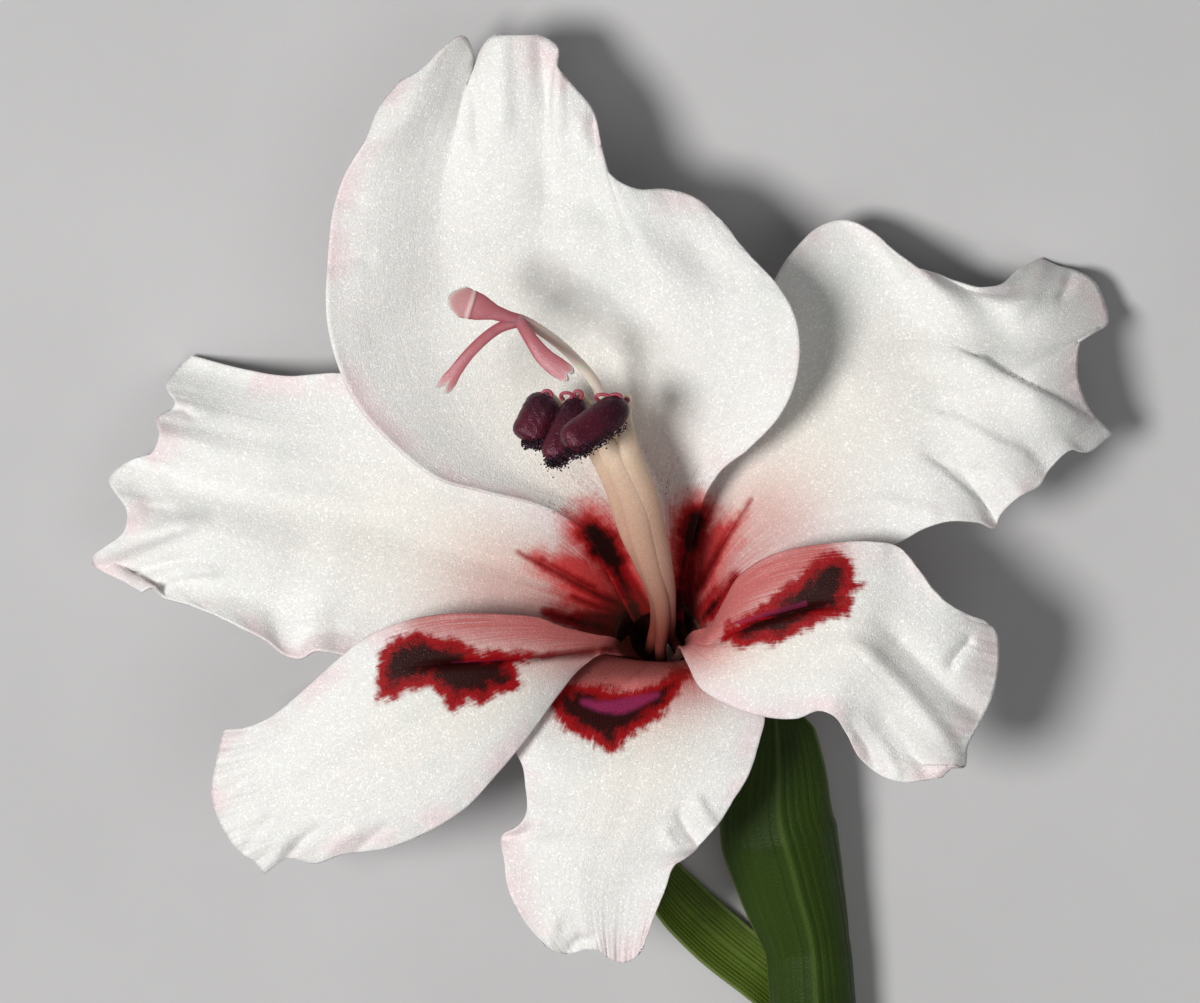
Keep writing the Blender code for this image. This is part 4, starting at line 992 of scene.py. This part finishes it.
def filament_material():
    """Cream filament, pink at its foot, near black at its lowest part as partly painted shade, and red at its tip,
    a little waxy.
    """
    p = Paint("filament_cream", 0.40, Subsurface_Weight=0.25, Subsurface_Scale=0.0005)
    along, cells = p.field("along"), p.skin(8200.0)
    colour = p.mix(p.times(p.patches(300.0, 0.40, 0.65), 0.3), p.colours.filament, SHADES["filament shade"])
    # the foot's near-black red is partly painted shade, where the filaments go down into the throat
    for start, end, shade in ((0.78, 0.50, "filament pink"), (0.54, 0.29, "filament red"),
                              (0.25, 0.12, "filament foot"), (0.955, 0.985, "filament tip")):
        colour = p.mix(p.steps(along, start, end), colour, SHADES[shade])
    return p.done(p.toned(p.ramp(cells["Tone"], 0.92, 1.05), colour), cells["Height"], 0.00003, 0.6)


def anther_material():
    """Velvety purple pollen sac, darker at its top as painted shade, darker along its seam, and with a few cells
    painted lilac as painted glints.
    """
    p = Paint("anther_purple", 0.36, Specular_IOR_Level=0.42, Specular_Tint=(1.0, 0.62, 0.80))
    cells, patches = p.skin(9500.0), p.patches(900.0, 0.40, 0.70, 4.0)
    # painted shade: the top of the sac painted darker than its lower end, with random patches
    top_shade_and_patches = p.plus(p.steps(p.field("along"), 0.75, 0.05), p.times(patches, 0.35))
    colour = p.mix(p.calc("MINIMUM", top_shade_and_patches, 1.0), p.colours.anther, SHADES["anther top"])
    colour = p.mix(p.steps(p.field("seam"), 0.2, 1.0), colour, SHADES["anther seam"])
    # painted glints: a few cells painted lilac-bright
    colour = p.mix(p.times(cells["Sparkle"], 0.3), colour, SHADES["anther painted glint"])
    return p.done(colour, p.plus(cells["Height"], p.times(patches, 0.4)), 0.00005, 0.6)


def pollen_material():
    """Crumbs of pollen, from near black to lilac."""
    p = Paint("pollen", 0.7, Specular_IOR_Level=0.3)
    colour = p.mix(p.patches(2600.0, 0.48, 0.76, 2.0), SHADES["pollen dark"], SHADES["pollen lilac"])
    return p.done(colour, p.noise(p.place, 14000.0, 2.0), 0.00002, 0.8)


def style_material():
    """Cream style that turns pink at its fork, with pale hairy rims on the branches."""
    p = Paint("stigma_pink", 0.38, Subsurface_Weight=0.4, Subsurface_Scale=0.0008)
    along = p.field("along")
    colour = p.mix(p.steps(along, 0.78, 1.0), SHADES["style"], p.colours.stigma)
    mottled = p.times(p.patches(800.0, 0.42, 0.66), p.steps(along, 0.9, 1.0))
    colour = p.mix(p.times(mottled, 0.5), colour, SHADES["stigma mottle"])
    colour = p.mix(p.field("margin"), colour, SHADES["stigma margin"])
    colour = p.mix(p.field("rim"), colour, SHADES["stigma rim"])
    return p.done(colour, p.skin(9000.0)["Height"], 0.00003, 0.6)


def bract_material():
    """Green bract with fine parallel veins, a paler keel and a thin papery rim."""
    p = Paint("bract_green", 0.50, Specular_IOR_Level=0.18, Subsurface_Weight=0.08, Subsurface_Scale=0.0006)
    ribs = p.veins(46.0, 0.8)
    off_keel = p.from_middle(p.add("ShaderNodeSeparateXYZ", {"Vector": p.uv}).outputs["X"])
    # the green starts darkened as painted shade
    colour = p.colours.bract
    for mask, strength, shade in ((ribs["Mask"], 0.28, "bract rib"), (p.field("young"), 0.8, "young bract"),
                                  (p.patches(240.0, 0.45, 0.7, 4.0), 0.5, "bract shade"),
                                  (p.steps(off_keel, 0.035, 0.0), 0.35, "bract keel"),
                                  (p.steps(p.field("edge"), 0.40, 0.0), 0.45, "bract rim")):
        colour = p.mix(p.times(mask, strength), colour, SHADES[shade])
    height = p.plus(p.times(ribs["Height"], 0.7), p.times(p.skin(6000.0)["Height"], 0.4))
    return p.done(colour, height, 0.00008, 0.9)


def ovary_material():
    """Pale green ovary, brown where the heel was snapped."""
    p = Paint("ovary_green", 0.45, Subsurface_Weight=0.1, Subsurface_Scale=0.0006)
    colour = p.mix(p.patches(520.0, 0.40, 0.70), p.colours.ovary, SHADES["ovary pale"])
    colour = p.mix(p.steps(p.field("along"), 0.10, 0.0), colour, SHADES["heel"])
    return p.done(colour, p.skin(6500.0)["Height"], 0.00004, 0.7)


def mark_fields(name, flat):
    """How far inside each kind of mark every point is, in millimetres."""
    found = {key: np.full(len(flat), FAR_FROM_MARKS) for key in FIELDS}
    for key, widths, line in MARKS[name]:
        if widths is None:
            distance, _ = line_distance(flat, line + line[:1])
            depth = np.where(inside(flat, line), distance, -distance)
        else:
            distance, along = line_distance(flat, line)
            depth = spread(widths, along) - distance
        found[key] = np.maximum(found[key], depth)
    return found


def frill_waves(points, u, v, height, phase):
    """Small waves of the edge that die away inwards."""
    size = np.linalg.norm(points.max(0) - points.min(0))
    waves = np.zeros(len(u))
    for toward, along, count in zip((u, 1 - u, 1 - v), (v, v, u), FRILL_COUNTS):
        ripple = np.sin(2 * math.pi * count * along + phase)
        ripple += 0.6 * np.sin(2 * math.pi * FINER_FRILL * count * along + 2 * phase)
        waves += ripple * np.exp(-toward * size / FRILL_REACH)
    return waves * height * np.clip(v * 3 - 0.5, 0, 1)


def make_tepal(name, number):
    """A tepal: its patch pressed into folds and frills, with the values that its paint reads."""
    spec = TEPALS[name]
    made, u, v = add_grid(name.replace("tepal", "petal"), *TEPAL_GRID)
    rows = tepal_patch(spec, u, v ** BASE_CROWDING)
    flat = rows[:, :2].copy()
    push = np.zeros(len(u))
    for widths, height, line in spec["folds"]:
        distance, along = line_distance(flat, line)
        width = np.where(left_of(flat, line), widths[0], widths[-1])
        push += height * bell(distance / width) * np.clip(FOLD_FADE * (1 - along), 0, 1)
    push += frill_waves(rows, u, v, sizes().frill / MM, FRILL_SHIFT * number)
    rows[:, 2] += push
    place_vertices(made, rows)

    stations = np.linspace(0, 1, MEASURES)
    ends = tepal_patch(spec, np.array([0.0, 1.0] * MEASURES), np.repeat(stations, 2) ** BASE_CROWDING)
    width = spread(np.linalg.norm(ends[0::2] - ends[1::2], axis=1), v)
    spine = tepal_patch(spec, np.full(MEASURES, 0.5), stations ** BASE_CROWDING)
    length = np.linalg.norm(np.diff(spine, axis=0), axis=1).sum()
    edge = np.minimum(np.minimum(u, 1 - u) * width, (1 - v) * length)
    ring = np.linalg.norm(flat - np.array(THROAT), axis=1)
    reaches, strengths, line = FLUSH[name]
    distance, along = line_distance(flat, line)
    flush = bell(distance / spread(reaches, along)) * spread(strengths, along)
    # painted shade with the throat's dark red: stronger near the throat and where the tepal dives below its face,
    # less on the dorsal tepal, and along the lines of THROAT_SHADE
    deep = np.clip((DEEP_REACH - ring) / DEEP_REACH * 2.2, 0, 1) * np.clip(-rows[:, 2] / 2.0, 0, 1)
    upper = name == "tepal_dorsal"
    deep *= DORSAL_DEEP if upper else 1.0
    if name in THROAT_SHADE:
        reach, strength, line = THROAT_SHADE[name]
        deep = np.maximum(deep, strength * bell(line_distance(flat, line)[0] / reach, 4))
    keep_fields(made, edge=edge, flush=flush, deep=deep, dots=bell((ring - DOTS_RING) / DOTS_WIDTH) * upper,
                **mark_fields(name, flat))
    count = len(made.data.vertices)
    thicken(made, sizes().petal_wall, np.clip(THIN_RIM + edge / RIM_WIDTH, THIN_RIM, 1.0), 0.3)
    mark_front(made, count, np.clip(1 - edge / (0.3 + 1.2 * bell(ring / 4.0, 4)), 0, 1))
    return made


class BLOOM_OT_tepals(bpy.types.Operator):
    """Make the six ruffled tepals with their marks"""
    bl_idname = "bloom.tepals"
    bl_label = "Tepals"

    def execute(self, context):
        paint = petal_material()
        for number, name in enumerate(TEPALS):
            finish_piece(make_tepal(name, number), paint, "petal_white", name)
        return {"FINISHED"}


class BLOOM_OT_tube(bpy.types.Operator):
    """Make the hollow tube below the tepals"""
    bl_idname = "bloom.tube"
    bl_label = "Tube"

    def execute(self, context):
        made = add_rod("tube", TUBE_PATH, TUBE_RADII, 48, 90, rounded=False)
        count = len(made.data.vertices)
        thicken(made, TUBE_WALL * MM, offset=-1)
        keep_fields(made, inner=np.arange(len(made.data.vertices)) >= count)
        finish_piece(made, tube_material(), "petal_white", "perianth_tube")
        return {"FINISHED"}


def make_anther(name, ends, radius):
    """A two-lobed pollen sac: a ball drawn out between its ends, grooved on its back and finely wrinkled."""
    start, end = Vector(ends[0]), Vector(ends[1])
    made = start_piece(name, bpy.ops.mesh.primitive_uv_sphere_add, segments=64, ring_count=48, radius=1.0)
    x, y, z = vertex_values(made, "co").T
    seam = bell(x / 0.22)
    groove = 1 - seam * np.where(y > 0, 0.07, 0.28)
    blunt = np.sqrt(1 + z * z) * np.where(z > 0, np.sqrt(1 + z ** 4), 1.0)
    wrinkle = 1 + 0.018 * np.sin(23 * z + 6 * x) * np.sin(17 * x + 5 * z)
    ahead = (end - start).normalized()
    out = (Vector((0, 0, 1)) - ahead * ahead.z).normalized()
    points = (np.array((start + end) / 2) + np.outer(x * radius * blunt * wrinkle, np.array(out.cross(ahead)))
              + np.outer(y * radius * ANTHER_DEPTH * groove * blunt * wrinkle, np.array(out))
              + np.outer(z * (end - start).length / 2, np.array(ahead)))
    place_vertices(made, points)
    keep_fields(made, seam=seam * np.where(y > 0, 0.15, 1.0), along=(z + 1) / 2)
    return made, points


def fringe_places(points, ends):
    """Where crumbs cling on an anther: along its lower side and lower end, where the sac has opened."""
    start, tip = np.array(ends)
    middle, way = (start + tip) / 2, np.array(FRINGE_WAY)
    score = (points - middle) @ way - 0.16 * np.linalg.norm(points - tip, axis=1)
    score += RNG.normal(0, 0.12, len(points))
    picked = points[RNG.choice(np.argsort(score)[-FRINGE_CRUMBS:], FRINGE_CRUMBS)]
    outward = unit(picked - middle + way * 1.2)
    return picked + outward * RNG.gamma(1.8, 0.10, (len(picked), 1)) + RNG.normal(0, 0.03, (len(picked), 3))


def fallen_places():
    """Where a little pollen has fallen: on the lower middle tepal's inner face."""
    spec = TEPALS["tepal_lower_middle"]
    surface = tepal_patch(spec, RNG.uniform(0.2, 0.85, 900), RNG.uniform(0.02, 0.4, 900))
    distance, along = line_distance(surface[:, :2], FALLEN_LINE)
    near = surface[distance < RNG.exponential(0.55, len(surface)) * (0.4 + along)]
    return near[:FALLEN_CRUMBS] + np.array((0.0, 0.0, 0.25))


def add_crumbs(name, centres, radius):
    """Small rough balls of pollen at the given flower points."""
    made = start_piece(name, bpy.ops.mesh.primitive_ico_sphere_add, subdivisions=1, radius=1.0)
    corners = vertex_values(made, "co")
    faces = np.array([p.vertices for p in made.data.polygons])
    balls = []
    for centre in centres:
        size = radius * RNG.uniform(0.6, 1.25)
        balls.append(centre + corners * size * RNG.uniform(0.8, 1.2, (len(corners), 1)))
    loops = np.vstack([faces + number * len(corners) for number in range(len(balls))])
    mesh = bpy.data.meshes.new(name)
    mesh.from_pydata(to_world(np.vstack(balls)).tolist(), [], loops.tolist())
    made.data = mesh
    return made


def curl_points(x, y, half, height, depth):
    """A small loop at an anther's top: round its middle, this wide to each side and this high."""
    return [(x - half * 0.4, y - 0.25, depth - 0.3), (x - half, y + height * 0.3, depth),
            (x - half * 0.6, y + height * 0.95, depth + 0.15), (x + half * 0.4, y + height, depth + 0.15),
            (x + half, y + height * 0.4, depth + 0.1), (x + half * 0.5, y - 0.25, depth - 0.2)]


class BLOOM_OT_stamens(bpy.types.Operator):
    """Make the three filaments, their anthers and the loose pollen"""
    bl_idname = "bloom.stamens"
    bl_label = "Stamens"

    def execute(self, context):
        cream, purple = filament_material(), anther_material()
        crumbs = []
        for number, (line, ends, radius, curls) in STAMENS.items():
            name = f"filament_stalk_{number}"
            pieces = [add_rod(name, line, FILAMENT_RADII, 28, 150, flatness=FILAMENT_FLATNESS)]
            for curl in curls:
                arch = curl_points(*curl, depth=ends[0][2] + 0.45)
                pieces.append(add_rod(f"curl_{number}_{curl[0]}", arch, CURL_RADII, 12, 24, start=0.999))
            finish_piece(join_pieces(name, pieces), cream, "filament_cream", f"filament_{number}")
            anther, points = make_anther(f"pollen_sac_{number}", ends, radius)
            finish_piece(anther, purple, "anther_purple", f"anther_{number}")
            crumbs.append(fringe_places(points, ends))
        crumbs.append(fallen_places())
        made = add_crumbs("pollen_crumbs", np.vstack(crumbs), sizes().crumb / MM)
        finish_piece(made, pollen_material(), "anther_purple")
        return {"FINISHED"}


def make_branch(name, line, half_widths, notch, folded):
    """A stigma branch: a channelled blade that widens to a rounded or notched end. Also the points of its end."""
    made, u, v = add_grid(name, 24, 110)
    side_place = 2 * u - 1
    # a positive notch cuts the end in between two round lobes, and a negative one rounds the end out
    cut = notch * (2 * np.abs(side_place) - 1) ** 2 * 0.13 if notch > 0 else -notch * side_place ** 2 * 0.19
    run = v * (1 - cut)
    path = smooth_curve(line, 200)
    ahead = heading(path, run, 0.01)
    side = unit(np.cross(ahead, (0.0, 0.0, 1.0)))
    half = spread(half_widths, run)
    fold = np.interp(run, (0, 0.35, 1), (1.25, 0.9, 0.45))
    angle = side_place * fold
    crest = folded * 0.12 * bell((run - FOLD_PLACE) / 0.025)
    points = (sample(path, run) + side * (half * np.sin(angle) / np.sin(fold))[:, None]
              + np.cross(side, ahead) * (half * (np.cos(angle) - 1) * 0.9 + crest)[:, None])
    place_vertices(made, points)
    at_side = np.exp(-(1 - np.abs(side_place)) * half / 0.10)
    at_end = np.exp(-(1 - v) / 0.03)
    pale_fold = folded * (0.9 * bell((run - FOLD_PLACE) / 0.012) + 0.30 * (run > FOLD_PLACE + 0.01))
    keep_fields(made, rim=np.clip(0.8 * at_end + pale_fold, 0, 1),
                margin=np.clip(0.85 * at_side * (1 - at_end), 0, 1), along=1.0)
    thicken(made, BRANCH_WALL)
    return made, points[v > 0.985]


def add_hairs(name, roots, ways):
    """Short soft hairs, each a thin cone with three sides."""
    verts, faces = [], []
    for root, way in zip(roots, unit(ways)):
        side = unit(np.cross(way, (0.3, 0.2, 0.9)))
        other = np.cross(way, side)
        a, b, c, tip = range(len(verts), len(verts) + 4)
        for angle in (0.0, 2.094, 4.189):
            verts.append(root + HAIR_RADIUS * (math.cos(angle) * side + math.sin(angle) * other))
        verts.append(root + way * HAIR_LENGTH * RNG.uniform(0.6, 1.2))
        faces += [(a, b, tip), (b, c, tip), (c, a, tip), (a, c, b)]
    mesh = bpy.data.meshes.new(name)
    mesh.from_pydata(to_world(np.array(verts)).tolist(), [], faces)
    made = bpy.data.objects.new(name, mesh)
    bpy.context.scene.collection.objects.link(made)
    keep_fields(made, rim=1.0, margin=0.0, along=1.0)
    return made


class BLOOM_OT_style(bpy.types.Operator):
    """Make the style and its three stigma branches"""
    bl_idname = "bloom.style"
    bl_label = "Style"

    def execute(self, context):
        rod = add_rod("style_rod", STYLE_PATH, [STYLE_RADIUS, STYLE_RADIUS, STYLE_RADIUS * 0.95], 24, 220)
        keep_fields(rod, rim=0.0, margin=0.0)
        pieces = [rod]
        for name, (line, half_widths, notch, folded) in STIGMAS.items():
            branch, end_points = make_branch(f"stigma_{name}", line, half_widths, notch, folded)
            roots = RNG.choice(end_points, HAIRS)
            ways = unit(np.array(line[-1]) - np.array(line[-2])) + RNG.normal(0, 0.5, (HAIRS, 3))
            pieces += [branch, add_hairs(f"hairs_{name}", roots, ways)]
        finish_piece(join_pieces("style_and_stigmas", pieces), style_material(), "stigma_pink", "style")
        return {"FINISHED"}


def make_bract(name, spec):
    """A bract: a blade wrapped round its centre line, keeled, with low ribs along it."""
    made, u, v = add_grid(name.replace("bract", "green_bract"), *BRACT_GRID)
    line = smooth_curve(spec["path"], 300)
    ahead = heading(line, v, 0.01)
    radius, wrap = spread(spec["radius"], v), np.radians(spread(spec["wrap"], v))
    start, end = np.array(spec["facing"])
    facing = start + (end - start) * v[:, None]
    facing = unit(facing - ahead * (ahead * facing).sum(-1, keepdims=True))
    angle = ((2 * u - 1) * wrap)[:, None]
    relief = 0.10 * bell((u - 0.5) / 0.03) + 0.03 * np.cos(2 * math.pi * BRACT_RIBS * u)
    reach = (radius + relief * np.clip(6 * (1 - v), 0, 1))[:, None]
    place_vertices(made, sample(line, v)
                   + reach * (facing * np.cos(angle) + np.cross(ahead, facing) * np.sin(angle)))
    edge = np.minimum(np.minimum(u, 1 - u) * 2 * radius * np.maximum(wrap, 0.05), (1 - v) * 30)
    keep_fields(made, edge=edge, young=spec["young"])
    thicken(made, sizes().bract_wall, np.clip(0.3 + edge, 0.3, 1.0), 0.35)
    return made


class BLOOM_OT_bracts(bpy.types.Operator):
    """Make the two green bracts"""
    bl_idname = "bloom.bracts"
    bl_label = "Bracts"

    def execute(self, context):
        paint = bract_material()
        for name, spec in BRACTS.items():
            finish_piece(make_bract(name, spec), paint, "bract_green", name)
        return {"FINISHED"}


class BLOOM_OT_ovary(bpy.types.Operator):
    """Make the three-lobed ovary with its heel"""
    bl_idname = "bloom.ovary"
    bl_label = "Ovary"

    def execute(self, context):
        made = add_rod("seed_case", OVARY_PATH, OVARY_RADII, 42, 90, lobes=(3, 0.035))
        finish_piece(made, ovary_material(), "ovary_green", "ovary")
        return {"FINISHED"}


def add_light(name, way, distance, size, power, colour, target):
    """A soft round light that looks at the bloom from the way given in the flower's own frame."""
    place = target + (TURN @ Vector(way).normalized()) * distance
    made = start_piece(name, bpy.ops.object.light_add, type="AREA", location=place)
    made.data.shape = "DISK"
    made.data.size, made.data.energy, made.data.color = size, power, colour
    made.rotation_euler = (target - made.location).to_track_quat("-Z", "Y").to_euler()


class BLOOM_OT_stage(bpy.types.Operator):
    """Set up the floor, the studio light and the camera"""
    bl_idname = "bloom.stage"
    bl_label = "Stage"

    def execute(self, context):
        floor = start_piece("floor", bpy.ops.mesh.primitive_plane_add, size=FLOOR_SIZE, location=(0, 0, 0))
        paint = Paint("floor", 0.85)
        tone = paint.steps(paint.noise(paint.place, 30.0, 4.0), 0.3, 0.7, (0.97, 1.03))
        paint.feed(paint.shader["Base Color"], paint.toned(tone, paint.colours.floor))
        floor.data.materials.append(paint.material)

        centre = LYING @ Vector(VIEW_CENTRE)
        add_light("key", KEY_WAY, distance=0.9, size=0.28, power=7.6, colour=(1.0, 0.985, 0.96), target=centre)
        add_light("fill", FILL_WAY, distance=1.1, size=0.8, power=1.7, colour=(1.0, 0.99, 0.975), target=centre)
        world = bpy.data.worlds.new("studio")
        world.use_nodes = True
        sky = world.node_tree.nodes["Background"].inputs
        sky["Color"].default_value = (0.92, 0.92, 0.92, 1.0)
        sky["Strength"].default_value = 0.14
        context.scene.world = world

        camera = start_piece("camera", bpy.ops.object.camera_add)
        camera.data.sensor_width = SENSOR
        camera.data.lens = SENSOR * VIEW_DISTANCE / VIEW_WIDTH
        camera.data.clip_start = 0.01
        toward, up = TURN @ Vector((0, 0, 1)), TURN @ Vector((0, 1, 0))
        pose = Matrix((up.cross(toward), up, toward)).transposed().to_4x4()
        pose.translation = centre + toward * VIEW_DISTANCE * MM
        camera.matrix_world = pose
        context.scene.camera = camera
        context.scene.view_settings.view_transform = "Standard"
        return {"FINISHED"}


class BLOOM_PT_panel(bpy.types.Panel):
    """Lists the bloom's pieces and what can be changed"""
    bl_label = "Gladiolus bloom"
    bl_idname = "BLOOM_PT_panel"
    bl_space_type = "VIEW_3D"
    bl_region_type = "UI"
    bl_category = "Bloom"

    def draw(self, context):
        for settings in (context.scene.bloom_sizes, context.scene.bloom_colours):
            for key in settings.__annotations__:
                self.layout.prop(settings, key)
        for operator in OPERATORS:
            self.layout.operator(operator.bl_idname)


OPERATORS = (BLOOM_OT_stage, BLOOM_OT_tepals, BLOOM_OT_tube, BLOOM_OT_stamens, BLOOM_OT_style, BLOOM_OT_bracts,
             BLOOM_OT_ovary)
CLASSES = (BloomSizes, BloomColours) + OPERATORS + (BLOOM_PT_panel,)


def register():
    for made in CLASSES:
        bpy.utils.register_class(made)
    bpy.types.Scene.bloom_sizes = PointerProperty(type=BloomSizes)
    bpy.types.Scene.bloom_colours = PointerProperty(type=BloomColours)


def unregister():
    del bpy.types.Scene.bloom_colours
    del bpy.types.Scene.bloom_sizes
    for made in reversed(CLASSES):
        bpy.utils.unregister_class(made)


def main():
    register()
    bpy.ops.object.select_all(action="DESELECT")
    bpy.ops.bloom.stage()
    bpy.ops.bloom.tepals()
    bpy.ops.bloom.tube()
    bpy.ops.bloom.stamens()
    bpy.ops.bloom.style()
    bpy.ops.bloom.bracts()
    bpy.ops.bloom.ovary()


if __name__ == "__main__":
    main()
